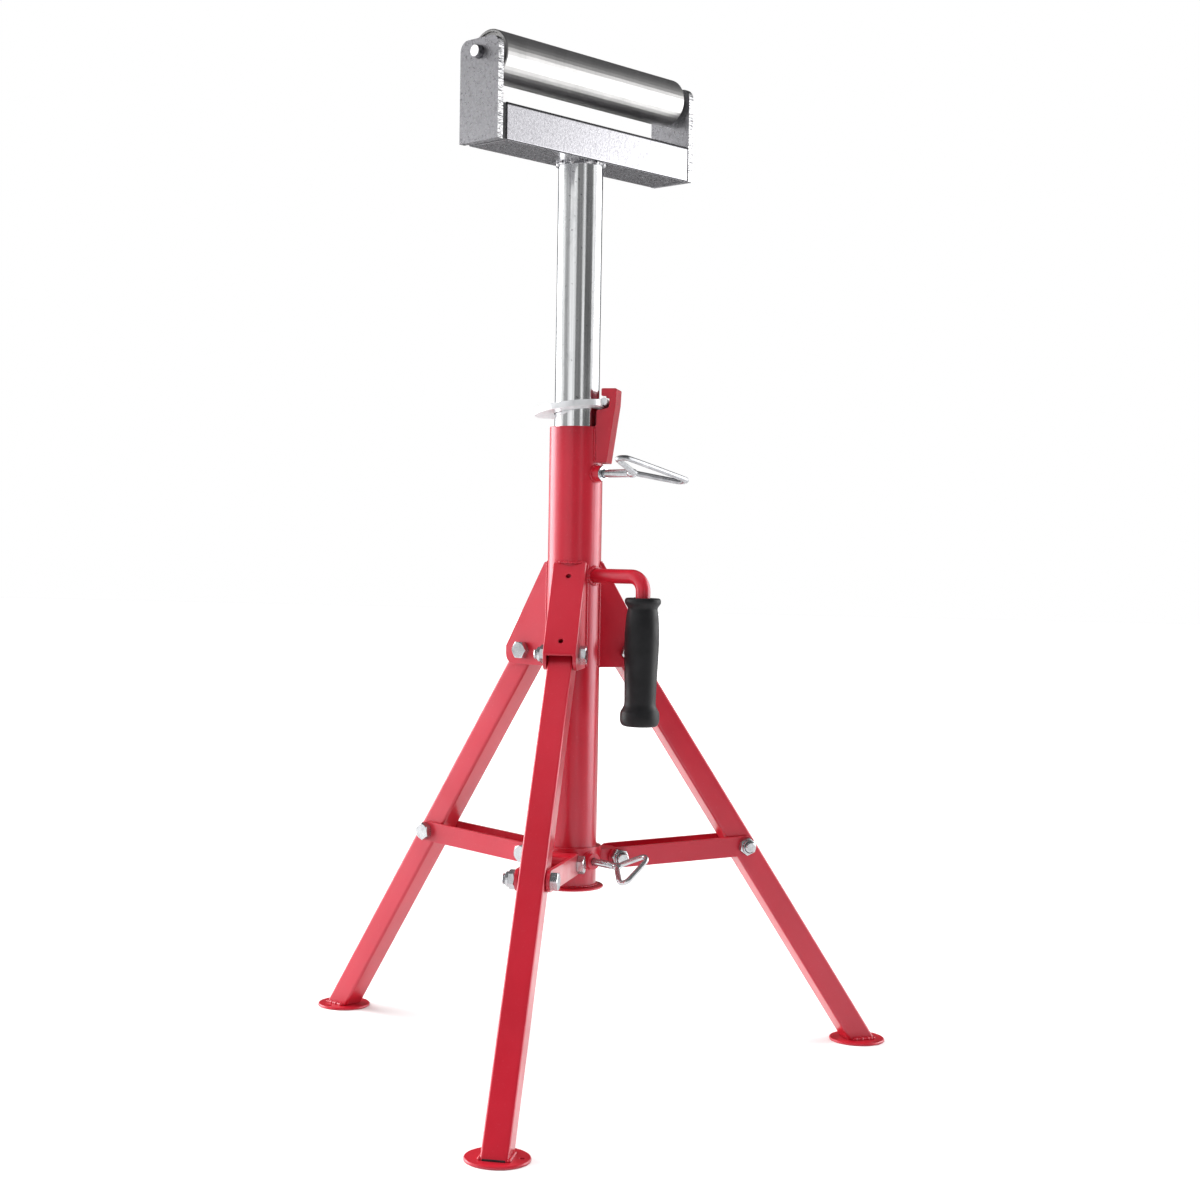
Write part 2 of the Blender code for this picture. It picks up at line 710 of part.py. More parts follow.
def collar():
    obj = piece(
        "leg_collar", turned(ring_profile(COLLAR_BORE_R, COLLAR_R, COLLAR_BOTTOM, COLLAR_TOP)), "red_paint"
    )
    eye = [
        (COLLAR_PIVOT_R + LUG_EYE_R * math.cos(a), COLLAR_PIVOT_Z + LUG_EYE_R * math.sin(a))
        for a in [math.radians(angle) for angle in range(-90, 91, 15)]
    ]
    inner = (COLLAR_BORE_R + COLLAR_R) / 2 - 1
    outline = eye + [(inner, COLLAR_PIVOT_Z + LUG_EYE_R), (inner, COLLAR_PIVOT_Z - LUG_EYE_R)]
    lugs = []
    holes = []
    reach = CHANNEL_WIDTH
    for station in STATIONS.values():
        turn = Matrix.Rotation(math.radians(station), 4, "Z")
        lug = side_plate(outline, 2 * LUG_HALF)
        bmesh.ops.transform(lug, matrix=turn, verts=lug.verts)
        lugs.append(lug)
        ends = [turn @ place(side * reach, COLLAR_PIVOT_R, COLLAR_PIVOT_Z) for side in (-1, 1)]
        holes.append(bar(BOLT_R + GAP, *ends))
    boolean(obj, "UNION", *lugs)
    turn = Matrix.Rotation(math.radians(COLLAR_SCREW["station"]), 4, "Z")
    ends = [turn @ place(0, radius, COLLAR_SCREW["z"]) for radius in (COLLAR_BORE_R - PAST, COLLAR_R + PAST)]
    holes.append(bar(COLLAR_SCREW["r"] + GAP, *ends))
    boolean(obj, "DIFFERENCE", core(COLLAR_BORE_R, COLLAR_BOTTOM, COLLAR_TOP), *holes)


BRACE_PIN_Z = HIP_Z * (LEG_FOOT_R - BRACE_PIN_R) / (LEG_FOOT_R - HIP_R)
BRACE_LENGTH = math.hypot(BRACE_PIN_R - COLLAR_PIVOT_R, BRACE_PIN_Z - COLLAR_PIVOT_Z)
BRACE_SLOPE = math.atan2(BRACE_PIN_Z - COLLAR_PIVOT_Z, BRACE_PIN_R - COLLAR_PIVOT_R)


def braces():
    """Channels, open upward, from the collar to the legs. Their origins are on the collar bolts."""
    half = BRACE_HALF
    ends = [(0, range(90, 271, 15)), (BRACE_LENGTH, range(-90, 91, 15))]
    outline = [
        Vector((middle + half * math.cos(math.radians(angle)), half * math.sin(math.radians(angle))))
        for middle, angles in ends
        for angle in angles
    ]
    web_top = CHANNEL_PLATE - half
    far = BRACE_LENGTH + 2 * half
    inside = [
        (-2 * half, -2 * half),
        (BRACE_WEB_START, -2 * half),
        (BRACE_WEB_START, web_top),
        (BRACE_WEB_END, web_top),
        (BRACE_WEB_END, -2 * half),
        (far, -2 * half),
        (far, 2 * half),
        (-2 * half, 2 * half),
    ]
    tools = [side_plate(inside, CHANNEL_WIDTH - 2 * CHANNEL_PLATE)]
    for middle in (0, BRACE_LENGTH):
        tools.append(bar(BOLT_R + GAP, place(-CHANNEL_WIDTH, middle, 0), place(CHANNEL_WIDTH, middle, 0)))
    body = side_plate(outline, CHANNEL_WIDTH)
    slope = Matrix.Rotation(-BRACE_SLOPE, 4, "X")
    for bm in (body, *tools):
        bmesh.ops.transform(bm, matrix=slope, verts=bm.verts)
    obj = piece("pattern", body, "red_paint", place(0, COLLAR_PIVOT_R, COLLAR_PIVOT_Z))
    boolean(obj, "DIFFERENCE", *tools)
    repeated(obj, "brace", "red_paint")


def brace_pin():
    """The bolt that pins a brace to its leg, in three lengths: head, middle and threaded end."""
    face = CHANNEL_WIDTH / 2 + GAP
    stub = CHANNEL_WIDTH / 2 - CHANNEL_PLATE + GAP
    at = place(0, BRACE_PIN_R, BRACE_PIN_Z)
    obj = piece("pattern", hexagon(place(face, 0, 0), place(face + HEAD_THICK, 0, 0)), "zinc", at)
    boolean(obj, "UNION", bar(BOLT_R, place(stub, 0, 0), place(face + HEAD_THICK / 2, 0, 0)))
    repeated(obj, "brace_bolt_head", "zinc")
    obj = piece("pattern", hexagon(place(-face - NUT_THICK, 0, 0), place(-face, 0, 0)), "zinc", at)
    tail = face + NUT_THICK + THREAD_PROUD
    boolean(obj, "UNION", bar(BOLT_R, place(-tail, 0, 0), place(-stub, 0, 0)))
    repeated(obj, "brace_bolt_nut", "zinc")
    middle = LEG_SIDE / 2 - GAP
    obj = piece("pattern", bar(BOLT_R, place(-middle, 0, 0), place(middle, 0, 0)), "zinc", at)
    repeated(obj, "brace_bolt_middle", "zinc")


def square_bar(side, corner, length):
    """A square section along Z, centred, with its long edges rounded."""
    bm = box((side, side, length), (0, 0, 0))
    upright = [edge for edge in bm.edges if abs(edge.verts[0].co.z - edge.verts[1].co.z) > MM]
    bmesh.ops.bevel(bm, geom=upright, offset=corner * MM, affect="EDGES", segments=3, profile=0.5)
    return bm


def legs():
    """Square tubes, cut flush on the foot discs. Their origins are on the hip bolts."""
    lean = math.atan2(LEG_FOOT_R - HIP_R, HIP_Z)
    length = HIP_Z / math.cos(lean) + LEG_SIDE + LEG_PAST_HIP
    shift = Matrix.Translation((0, 0, (LEG_PAST_HIP - length / 2) * MM))
    turn = Matrix.Rotation(-lean, 4, "X")
    body = square_bar(LEG_SIDE, LEG_CORNER, length)
    bore = square_bar(LEG_SIDE - 2 * LEG_WALL, LEG_CORNER - LEG_WALL, length + 2 * PAST)
    for bm in (body, bore):
        bmesh.ops.transform(bm, matrix=turn @ shift, verts=bm.verts)
    floor = FOOT_THICK + GAP - HIP_Z
    reach = LEG_FOOT_R - HIP_R
    pin = (BRACE_PIN_R - HIP_R, BRACE_PIN_Z - HIP_Z)
    obj = piece("pattern", body, "red_paint", place(0, HIP_R, HIP_Z))
    boolean(
        obj,
        "DIFFERENCE",
        bore,
        box((LEG_SIDE * 3, reach * 2, LEG_SIDE * 3), (0, -reach, floor - LEG_SIDE * 1.5)),
        bar(BOLT_R + GAP, place(-LEG_SIDE, 0, 0), place(LEG_SIDE, 0, 0)),
        bar(BOLT_R + GAP, place(-LEG_SIDE, *pin), place(LEG_SIDE, *pin)),
    )
    repeated(obj, "leg", "red_paint")
    edge = FOOT_THICK / 3
    top = FOOT_THICK
    profile = [(0, top), (FOOT_R - edge, top), (FOOT_R, top - edge), (FOOT_R, 0), (0, 0)]
    obj = piece("pattern", turned(profile), "red_paint", place(0, FOOT_CENTRE_R, 0))
    hole = bar(FOOT_HOLE_R, place(FOOT_HOLE_T, 0, -PAST), place(FOOT_HOLE_T, 0, PAST), 16)
    boolean(obj, "DIFFERENCE", hole)
    repeated(obj, "foot", "red_paint")


column()
leg_bracket()
repeated(bolt(HIP_R, HIP_Z), "hip_bolt", "zinc")
repeated(nut(HIP_R, HIP_Z), "hip_nut", "zinc")
handle()
post()
head()
roller()
latch_bracket()
clutch_ring()
boss("post_lock_boss", POST_SCREW, TUBE_R + GAP, POST_BOSS_OUT, "red_paint")
lock_screw("post_lock", POST_SCREW, POST_R + GAP)
collar()
boss("collar_lock_boss", COLLAR_SCREW, COLLAR_R + GAP, COLLAR_BOSS_OUT, "red_paint")
lock_screw("collar_lock", COLLAR_SCREW, TUBE_R + GAP)
repeated(bolt(COLLAR_PIVOT_R, COLLAR_PIVOT_Z), "collar_bolt", "zinc")
repeated(nut(COLLAR_PIVOT_R, COLLAR_PIVOT_Z), "collar_nut", "zinc")
braces()
brace_pin()
legs()
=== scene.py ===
"""Finishes and fine detail of the folding roller stand, with its camera and studio lights.

Lengths are in metres. A station is a turn about Z, in degrees from -Y toward +X, as on the model:
a leg stands at stations 0, 120 and 240, and at station 0 a point with a tangent, a radius and a
height lies at (tangent, -radius, height).
"""

import json
import math

import bpy
from mathutils import Matrix, Vector

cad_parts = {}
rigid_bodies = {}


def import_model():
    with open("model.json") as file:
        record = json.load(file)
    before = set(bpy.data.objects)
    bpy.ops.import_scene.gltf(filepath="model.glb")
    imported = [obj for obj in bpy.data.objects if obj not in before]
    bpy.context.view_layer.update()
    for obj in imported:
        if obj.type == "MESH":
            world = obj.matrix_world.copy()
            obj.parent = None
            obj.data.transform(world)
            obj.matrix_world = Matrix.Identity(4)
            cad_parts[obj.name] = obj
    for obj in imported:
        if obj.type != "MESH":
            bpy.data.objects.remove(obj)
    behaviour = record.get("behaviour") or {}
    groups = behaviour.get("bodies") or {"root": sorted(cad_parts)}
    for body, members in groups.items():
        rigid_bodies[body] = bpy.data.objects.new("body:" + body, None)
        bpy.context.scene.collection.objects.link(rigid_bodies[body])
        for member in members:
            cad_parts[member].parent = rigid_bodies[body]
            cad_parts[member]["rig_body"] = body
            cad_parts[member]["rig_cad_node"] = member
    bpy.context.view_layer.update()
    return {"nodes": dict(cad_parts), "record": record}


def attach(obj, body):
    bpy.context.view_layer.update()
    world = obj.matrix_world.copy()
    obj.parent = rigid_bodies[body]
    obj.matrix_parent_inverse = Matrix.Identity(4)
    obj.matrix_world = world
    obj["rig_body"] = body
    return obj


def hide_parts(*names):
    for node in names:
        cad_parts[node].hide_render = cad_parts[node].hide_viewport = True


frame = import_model()
nodes = frame["nodes"]
scene = bpy.context.scene

STATIONS = {"front": 0, "right": 120, "left": 240}
GAP = 0.0003
TUBE_R = 0.030
TUBE_BOTTOM = 0.2017
POST_R = 0.025
HEAD_BOTTOM = 1.0096
HEAD_TURN = 58.2
CHANNEL_HALF = 0.0185
BRACKET_TOP = 0.5648
BRACKET_BOTTOM = 0.4475
HIP = (0.060, 0.464)
COLLAR_PIVOT = (0.0526, 0.2319)
BRACE_PIN = (0.210, 0.23984)
BOLT_R = 0.006
HEX_FLATS = 0.018
HEX_HEAD = 0.0075
NUT_THICK = 0.010
THREAD_PROUD = 0.0035
THREAD_PITCH = 0.00175
HANDLE_STATION = 60
HANDLE_Z = 0.5505
POST_LOCK = (60, 0.664)
COLLAR_LOCK = (50, 0.232)
LOCK_BOSS_R = 0.009
BOSS_END = 0.0391
HANDLE_ROD_R = 0.008
HANDLE_R = 0.0985
HANDLE_BEND = 0.016
GRIP_LEAN = 0.65
GRIP_TOP = 0.5275
GRIP_BOTTOM = 0.3865
GRIP_NUB_AT = -0.0145
HANDLE_END_Z = 0.4020
HEAD_LENGTH = 0.327
HEAD_DEPTH = 0.0567
END_PLATE = 0.008
TROUGH_HEIGHT = 0.040
TROUGH_WALL = 0.004
SEAM_WIDE = 0.0052
WEB_FOOT = 0.4655
BEND_R = 0.003
EDGE_SHARE = 0.2
SHARP = 32
LATCH_STATION = 90
LEG_HALF = 0.014
FOOT_R = 0.3705
FOOT_TOP = 0.003
COLLAR_R = 0.035
LUG_SIDE = 0.0146
LUG_WELD = (0.2245, 0.2395)
LATCH_WELD = (0.679, 0.7145)
LOOP_APEX = 0.084
POST_WIRE_R = 0.00425
COLLAR_WIRE_R = 0.0037


# Mesh helpers


def clear():
    """Leaves edit mode and selects nothing."""
    if bpy.context.object and bpy.context.object.mode != "OBJECT":
        bpy.ops.object.mode_set(mode="OBJECT")
    bpy.ops.object.select_all(action="DESELECT")


def only(*objs):
    """Selects these objects alone and makes the first one active."""
    clear()
    for obj in objs:
        obj.select_set(True)
    bpy.context.view_layer.objects.active = objs[0]


def modified(obj, kind, **settings):
    """Adds a modifier with these settings and applies it."""
    only(obj)
    modifier = obj.modifiers.new(kind.title(), kind)
    for key, value in settings.items():
        setattr(modifier, key, value)
    bpy.ops.object.modifier_apply(modifier=modifier.name)
    return obj


def cut(obj, operation, tool):
    """Cuts or joins a tool, which is then removed."""
    modified(obj, "BOOLEAN", operation=operation, solver="EXACT", object=tool)
    bpy.data.objects.remove(tool)
    return obj


def placed(obj, matrix):
    """Moves a piece and keeps its place in its mesh."""
    obj.matrix_world = matrix @ obj.matrix_world
    only(obj)
    bpy.ops.object.transform_apply(location=True, rotation=True, scale=True)
    return obj


def at_station(station, tangent=0.0, radius=0.0, height=0.0):
    """The turn and shift to a place given by its station."""
    return Matrix.Rotation(math.radians(station), 4, "Z") @ Matrix.Translation((tangent, -radius, height))


def finished(obj, name, body, look, angle=35):
    """Names a piece, shades it, paints it and hangs it on its body."""
    only(obj)
    bpy.ops.object.transform_apply(location=True, rotation=True, scale=True)
    bpy.ops.object.shade_smooth_by_angle(angle=math.radians(angle))
    if angle < 60:
        modified(obj, "WEIGHTED_NORMAL", keep_sharp=True, weight=50, mode="FACE_AREA")
    obj.name = name
    obj.data.name = name
    obj.data.materials.clear()
    obj.data.materials.append(look)
    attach(obj, body)
    return obj


def copied(obj, matrix):
    """A copy of a piece, with its own mesh, at another place."""
    twin = obj.copy()
    twin.data = obj.data.copy()
    scene.collection.objects.link(twin)
    return placed(twin, matrix)


def lathe(profile, steps=48, closed=False):
    """A turned solid about Z: a circle extruded and scaled through (radius, height) points.

    A closed profile gives a ring with a hole. An open one is capped at both ends.
    """
    clear()
    radius, height = profile[0]
    fill = "NOTHING" if closed else "NGON"
    bpy.ops.mesh.primitive_circle_add(vertices=steps, radius=radius, location=(0, 0, height), fill_type=fill)
    obj = bpy.context.object
    bpy.ops.object.transform_apply(location=True)
    bpy.ops.object.mode_set(mode="EDIT")
    bpy.ops.mesh.select_all(action="SELECT")
    stops = [*profile[1:], profile[0]] if closed else profile[1:]
    for new_radius, new_height in stops:
        move = {"value": (0, 0, new_height - height)}
        if closed:
            bpy.ops.mesh.extrude_edges_move(TRANSFORM_OT_translate=move)
        else:
            bpy.ops.mesh.extrude_region_move(TRANSFORM_OT_translate=move)
        ratio = new_radius / radius
        bpy.ops.transform.resize(value=(ratio, ratio, 1), center_override=(0, 0, new_height))
        radius, height = new_radius, new_height
    bpy.ops.mesh.select_all(action="SELECT")
    bpy.ops.mesh.remove_doubles(threshold=1e-6)
    bpy.ops.mesh.normals_make_consistent(inside=False)
    clear()
    return obj


def block(size, centre):
    """A rectangular bar, the start of a block of painted shade or of a cutter."""
    clear()
    bpy.ops.mesh.primitive_cube_add(size=1, location=centre, scale=size)
    bpy.ops.object.transform_apply(location=True, rotation=True, scale=True)
    return bpy.context.object


def opened(node):
    """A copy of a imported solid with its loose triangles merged, left selected in edit mode."""
    obj = nodes[node].copy()
    obj.data = nodes[node].data.copy()
    obj.parent = None
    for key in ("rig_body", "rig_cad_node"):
        del obj[key]
    scene.collection.objects.link(obj)
    only(obj)
    bpy.ops.mesh.customdata_custom_splitnormals_clear()
    bpy.ops.object.mode_set(mode="EDIT")
    bpy.ops.mesh.select_all(action="SELECT")
    bpy.ops.mesh.remove_doubles(threshold=2e-6)
    return obj


def from_node(node):
    """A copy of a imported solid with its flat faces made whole."""
    obj = opened(node)
    bpy.ops.mesh.dissolve_limited(angle_limit=math.radians(0.6))
    clear()
    return obj


def eased(obj, width, segments, limit=SHARP):
    """Rounds every edge that turns by more than the limit."""
    settings = {"limit_method": "ANGLE", "angle_limit": math.radians(limit)}
    return modified(obj, "BEVEL", width=width, segments=segments, **settings)


def edged(node, look, body, width=0.0006):
    """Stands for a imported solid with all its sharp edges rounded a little, as paint and tools leave them."""
    obj = eased(from_node(node), width, 3)
    finished(obj, f"{node}_finished", body, look)
    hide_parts(node)


def smoothed(node, look, body):
    """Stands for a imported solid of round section, made smooth by subdivision."""
    obj = opened(node)
    wide = math.radians(60)
    bpy.ops.mesh.tris_convert_to_quads(face_threshold=wide, shape_threshold=wide)
    bpy.ops.mesh.select_mode(type="EDGE")
    bpy.ops.mesh.select_all(action="DESELECT")
    bpy.ops.mesh.edges_select_sharp(sharpness=wide)
    bpy.ops.transform.edge_crease(value=1)
    clear()
    modified(obj, "SUBSURF", levels=2, render_levels=2)
    finished(obj, f"{node}_finished", body, look, 60)
    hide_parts(node)


def leg_bracket(word):
    """A bracket with its two long bends rounded as a press leaves them, and its cut edges lightly dulled."""
    node = f"leg_bracket_{word}"
    obj = from_node(node)
    turn = Matrix.Rotation(math.radians(-STATIONS[word]), 3, "Z")
    mesh = obj.data
    weights = mesh.attributes.new("bevel_weight_edge", "FLOAT", "EDGE")
    faces_of = {}
    for face in mesh.polygons:
        for key in face.edge_keys:
            faces_of.setdefault(key, []).append(turn @ face.normal)
    for edge in mesh.edges:
        first, second = (turn @ mesh.vertices[index].co for index in edge.vertices)
        normals = faces_of[edge.key]
        if len(normals) < 2 or normals[0].angle(normals[1]) < math.radians(SHARP):
            continue
        beside = all(abs(abs(point.x) - CHANNEL_HALF) < 0.0002 for point in (first, second))
        above = min(first.z, second.z) > WEB_FOOT
        outward = any(abs(n.x) < 0.1 and n.y < -0.5 for n in normals)
        weights.data[edge.index].value = 1.0 if beside and above and outward else EDGE_SHARE
    modified(obj, "BEVEL", width=BEND_R, segments=5, limit_method="WEIGHT", use_clamp_overlap=False)
    finished(obj, f"{node}_finished", "frame", RED)
    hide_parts(node)


def trough():
    """The head's trough. Its near end stops short of the end plate, and a sunk block, painted black as painted
    shade, fills the slit.
    """
    obj = from_node("head_trough")
    along = Matrix.Rotation(math.radians(-HEAD_TURN), 3, "Z")
    for vertex in obj.data.vertices:
        if (along @ vertex.co).x < 0:
            vertex.co += along.transposed() @ Vector((SEAM_WIDE, 0, 0))
    eased(obj, 0.0019, 5)
    finished(obj, "head_trough_finished", "post", GREY)
    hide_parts("head_trough")
    half = HEAD_LENGTH / 2 - END_PLATE
    wide = SEAM_WIDE + GAP
    sunk = 0.0012
    middle = HEAD_BOTTOM + TROUGH_HEIGHT / 2
    # Painted shade: a near black block sunk in the slit.
    seam = block((wide, HEAD_DEPTH - 2 * sunk, TROUGH_HEIGHT - 2 * sunk), (wide / 2 - half, 0, middle))
    hollow = HEAD_DEPTH - 2 * TROUGH_WALL + 2 * sunk
    inside = block((0.05, hollow, TROUGH_HEIGHT), (-half, 0, middle + TROUGH_WALL - sunk))
    cut(seam, "DIFFERENCE", inside)
    eased(seam, 0.0004, 2)
    placed(seam, Matrix.Rotation(math.radians(HEAD_TURN), 4, "Z"))
    finished(seam, "trough_slit_shade", "post", SHADE_BLACK)


def carry_rod():
    """The round rod of the carry handle: out from the tube, round its bend and down into the grip."""
    clear()
    bend_at = HANDLE_R - HANDLE_BEND
    start = (0, -TUBE_R - GAP, HANDLE_Z)
    upright = (math.radians(90), 0, 0)
    bpy.ops.mesh.primitive_circle_add(
        vertices=40, radius=HANDLE_ROD_R, location=start, rotation=upright, fill_type="NGON"
    )
    obj = bpy.context.object
    bpy.ops.object.transform_apply(location=True, rotation=True, scale=True)
    bpy.ops.object.mode_set(mode="EDIT")
    bpy.ops.mesh.select_mode(type="FACE")
    bpy.ops.mesh.select_all(action="SELECT")
    run = {"value": (0, -bend_at - start[1], 0)}
    bpy.ops.mesh.extrude_region_move(TRANSFORM_OT_translate=run)
    centre = (0, -bend_at, HANDLE_Z - HANDLE_BEND)
    bpy.ops.mesh.spin(steps=12, angle=math.radians(90), center=centre, axis=(-1, 0, 0))
    drop = {"value": (0, 0, HANDLE_END_Z - centre[2])}
    bpy.ops.mesh.extrude_region_move(TRANSFORM_OT_translate=drop)
    bpy.ops.mesh.select_all(action="SELECT")
    bpy.ops.mesh.remove_doubles(threshold=1e-6)
    bpy.ops.mesh.normals_make_consistent(inside=False)
    placed(obj, at_station(HANDLE_STATION))
    finished(obj, "carry_handle_finished", "frame", RED)
    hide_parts("carry_handle")


def between(before, start, stop, after, t):
    """A value on the smooth curve from start to stop, whose slopes come from the values on either side."""
    slope = stop - before
    sway = 2 * before - 5 * start + 4 * stop - after
    twist = 3 * (start - stop) + after - before
    return start + 0.5 * (slope * t + sway * t**2 + twist * t**3)


def spline(points, steps=5):
    """A smooth curve through (radius, height) points."""
    padded = [points[0], *points, points[-1]]
    curve = []
    for four in zip(padded, padded[1:], padded[2:], padded[3:]):
        for step in range(steps):
            curve.append(tuple(between(*values, step / steps) for values in zip(*four)))
    return [*curve, points[-1]]


def grip():
    """The moulded rubber grip: a lip at the top, a waist under it, a long swell and a thick foot."""
    outline = [
        (0.0160, 0.1410),
        (0.0180, 0.1408),
        (0.0194, 0.1394),
        (0.0198, 0.1372),
        (0.0194, 0.1350),
        (0.0180, 0.1328),
        (0.0166, 0.1306),
        (0.0163, 0.1284),
        (0.0168, 0.1262),
        (0.0177, 0.1200),
        (0.0185, 0.1100),
        (0.0190, 0.0960),
        (0.0187, 0.0780),
        (0.0179, 0.0560),
        (0.0173, 0.0340),
        (0.0172, 0.0262),
        (0.0178, 0.0226),
        (0.0194, 0.0194),
        (0.0210, 0.0164),
        (0.0216, 0.0125),
        (0.0216, 0.0082),
        (0.0208, 0.0042),
        (0.0188, 0.0014),
        (0.0150, 0.0003),
        (0.0060, 0.0002),
    ]
    top = outline[0][1]
    near_axis = 0.0002
    bore = HANDLE_ROD_R + GAP
    floor = HANDLE_END_Z - GRIP_BOTTOM - GAP
    hollow = [(bore + 0.001, top), (bore, top - 0.001), (bore, floor), (near_axis, floor)]
    obj = lathe([(near_axis, 0.0002), *reversed(spline(outline)), *hollow], 64)
    # The grip leans, so its foot sits slightly off the rod's line.
    pivot = at_station(HANDLE_STATION, 0, HANDLE_R, 0) @ Vector((0, 0, GRIP_TOP))
    lean = Matrix.Rotation(math.radians(GRIP_LEAN), 4, "Y")
    about_top = Matrix.Translation(pivot) @ lean @ Matrix.Translation(-pivot)
    placed(obj, about_top @ at_station(HANDLE_STATION, 0, HANDLE_R, GRIP_BOTTOM))
    finished(obj, "handle_grip_finished", "frame", RUBBER, 60)
    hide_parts("handle_grip")
    nub = lathe([(0.0016, -0.0006), (0.0014, 0.0004), (0.0009, 0.0009), (0.0003, 0.0011)], 16)
    placed(nub, at_station(HANDLE_STATION, GRIP_NUB_AT, HANDLE_R, GRIP_TOP))
    finished(nub, "grip_moulding_nub", "frame", RUBBER)


# Materials


class Look:
    """A Principled material with patterns on Object coordinates, so they stay on the piece."""

    def __init__(self, name, colour, metallic, roughness, **sockets):
        self.material = bpy.data.materials.new(name)
        self.material.use_nodes = True
        self.tree = self.material.node_tree
        self.shader = self.tree.nodes["Principled BSDF"]
        self.set("Base Color", (*colour, 1))
        self.set("Metallic", metallic)
        self.set("Roughness", roughness)
        for socket, value in sockets.items():
            self.set(socket.replace("_", " "), value)
        self.place = self.tree.nodes.new("ShaderNodeTexCoord").outputs["Object"]
        self.normal = None

    def set(self, socket, value):
        self.shader.inputs[socket].default_value = value

    def link(self, value, socket):
        self.tree.links.new(value, socket)

    def moved(self, stretch=(1, 1, 1), turn=0.0):
        """Object coordinates turned about Z and stretched."""
        node = self.tree.nodes.new("ShaderNodeMapping")
        node.vector_type = "POINT"
        node.inputs["Scale"].default_value = stretch
        node.inputs["Rotation"].default_value = (0, 0, math.radians(turn))
        self.link(self.place, node.inputs["Vector"])
        return node.outputs["Vector"]

    def noise(self, scale, detail=3.0, rough=0.5, distortion=0.0, vector=None):
        node = self.tree.nodes.new("ShaderNodeTexNoise")
        node.inputs["Scale"].default_value = scale
        node.inputs["Detail"].default_value = detail
        node.inputs["Roughness"].default_value = rough
        node.inputs["Distortion"].default_value = distortion
        self.link(vector or self.place, node.inputs["Vector"])
        return node.outputs["Fac"]

    def cells(self, scale, feature="SMOOTH_F1", vector=None):
        node = self.tree.nodes.new("ShaderNodeTexVoronoi")
        node.feature = feature
        node.inputs["Scale"].default_value = scale
        self.link(vector or self.place, node.inputs["Vector"])
        return node.outputs["Distance"]

    def ramp(self, value, low, high, start=0.3, end=0.7):
        """Turns a pattern's start to end into low to high."""
        node = self.tree.nodes.new("ShaderNodeMapRange")
        for socket, number in (("From Min", start), ("From Max", end), ("To Min", low), ("To Max", high)):
            node.inputs[socket].default_value = number
        self.link(value, node.inputs["Value"])
        return node.outputs["Result"]

    def blend(self, share, first, second):
        """A colour between two colours, which may be sockets."""
        node = self.tree.nodes.new("ShaderNodeMix")
        node.data_type = "RGBA"
        self.link(share, node.inputs["Factor"])
        for socket, colour in ((node.inputs[6], first), (node.inputs[7], second)):
            if isinstance(colour, tuple):
                socket.default_value = (*colour, 1)
            else:
                self.link(colour, socket)
        return node.outputs[2]

    def maths(self, operation, first, second):
        node = self.tree.nodes.new("ShaderNodeMath")
        node.operation = operation
        for socket, value in ((node.inputs[0], first), (node.inputs[1], second)):
            if isinstance(value, (int, float)):
                socket.default_value = value
            else:
                self.link(value, socket)
        return node.outputs[0]

    def along(self, axis, turn=0.0):
        """One coordinate, after a turn about Z."""
        node = self.tree.nodes.new("ShaderNodeSeparateXYZ")
        self.link(self.moved(turn=turn), node.inputs[0])
        return node.outputs[axis]

    def along_normal(self, turn=0.0, axis=1):
        """One coordinate of the surface's direction, after a turn about Z."""
        facing = self.tree.nodes.new("ShaderNodeTexCoord").outputs["Normal"]
        turned_by = self.tree.nodes.new("ShaderNodeVectorRotate")
        turned_by.rotation_type = "Z_AXIS"
        turned_by.inputs["Angle"].default_value = math.radians(turn)
        self.link(facing, turned_by.inputs["Vector"])
        node = self.tree.nodes.new("ShaderNodeSeparateXYZ")
        self.link(turned_by.outputs[0], node.inputs[0])
        return node.outputs[axis]

    def colour(self, value):
        self.link(value, self.shader.inputs["Base Color"])

    def roughness(self, value):
        self.link(value, self.shader.inputs["Roughness"])

    def bump(self, height, distance, strength=1.0):
        node = self.tree.nodes.new("ShaderNodeBump")
        node.inputs["Distance"].default_value = distance
        node.inputs["Strength"].default_value = strength
        self.link(height, node.inputs["Height"])
        if self.normal:
            self.link(self.normal, node.inputs["Normal"])
        self.normal = node.outputs["Normal"]
        self.link(self.normal, self.shader.inputs["Normal"])


def red_paint():
    """Satin powder coat: a fine orange peel, with a slight drift of shade and a few dull patches."""
    look = Look("red_paint", (0.46, 0.007, 0.019), 0.0, 0.31, Coat_Weight=0.42, Coat_Roughness=0.18)
    look.set("Specular IOR Level", 0.6)
    look.set("Specular Tint", (1.0, 0.72, 0.90, 1))
    drift = look.ramp(look.noise(9, 4), 0.0, 1.0, 0.35, 0.65)
    base = look.blend(drift, (0.44, 0.006, 0.017), (0.50, 0.009, 0.023))
    dust = look.ramp(look.noise(420, 2), 0.0, 0.30, 0.64, 0.80)
    look.colour(look.blend(dust, base, (0.55, 0.07, 0.09)))
    look.roughness(look.ramp(look.noise(30, 5), 0.28, 0.38, 0.3, 0.7))
    look.bump(look.noise(620, 2), 0.00005, 0.45)
    look.bump(look.noise(90, 3), 0.00010, 0.25)
    return look.material


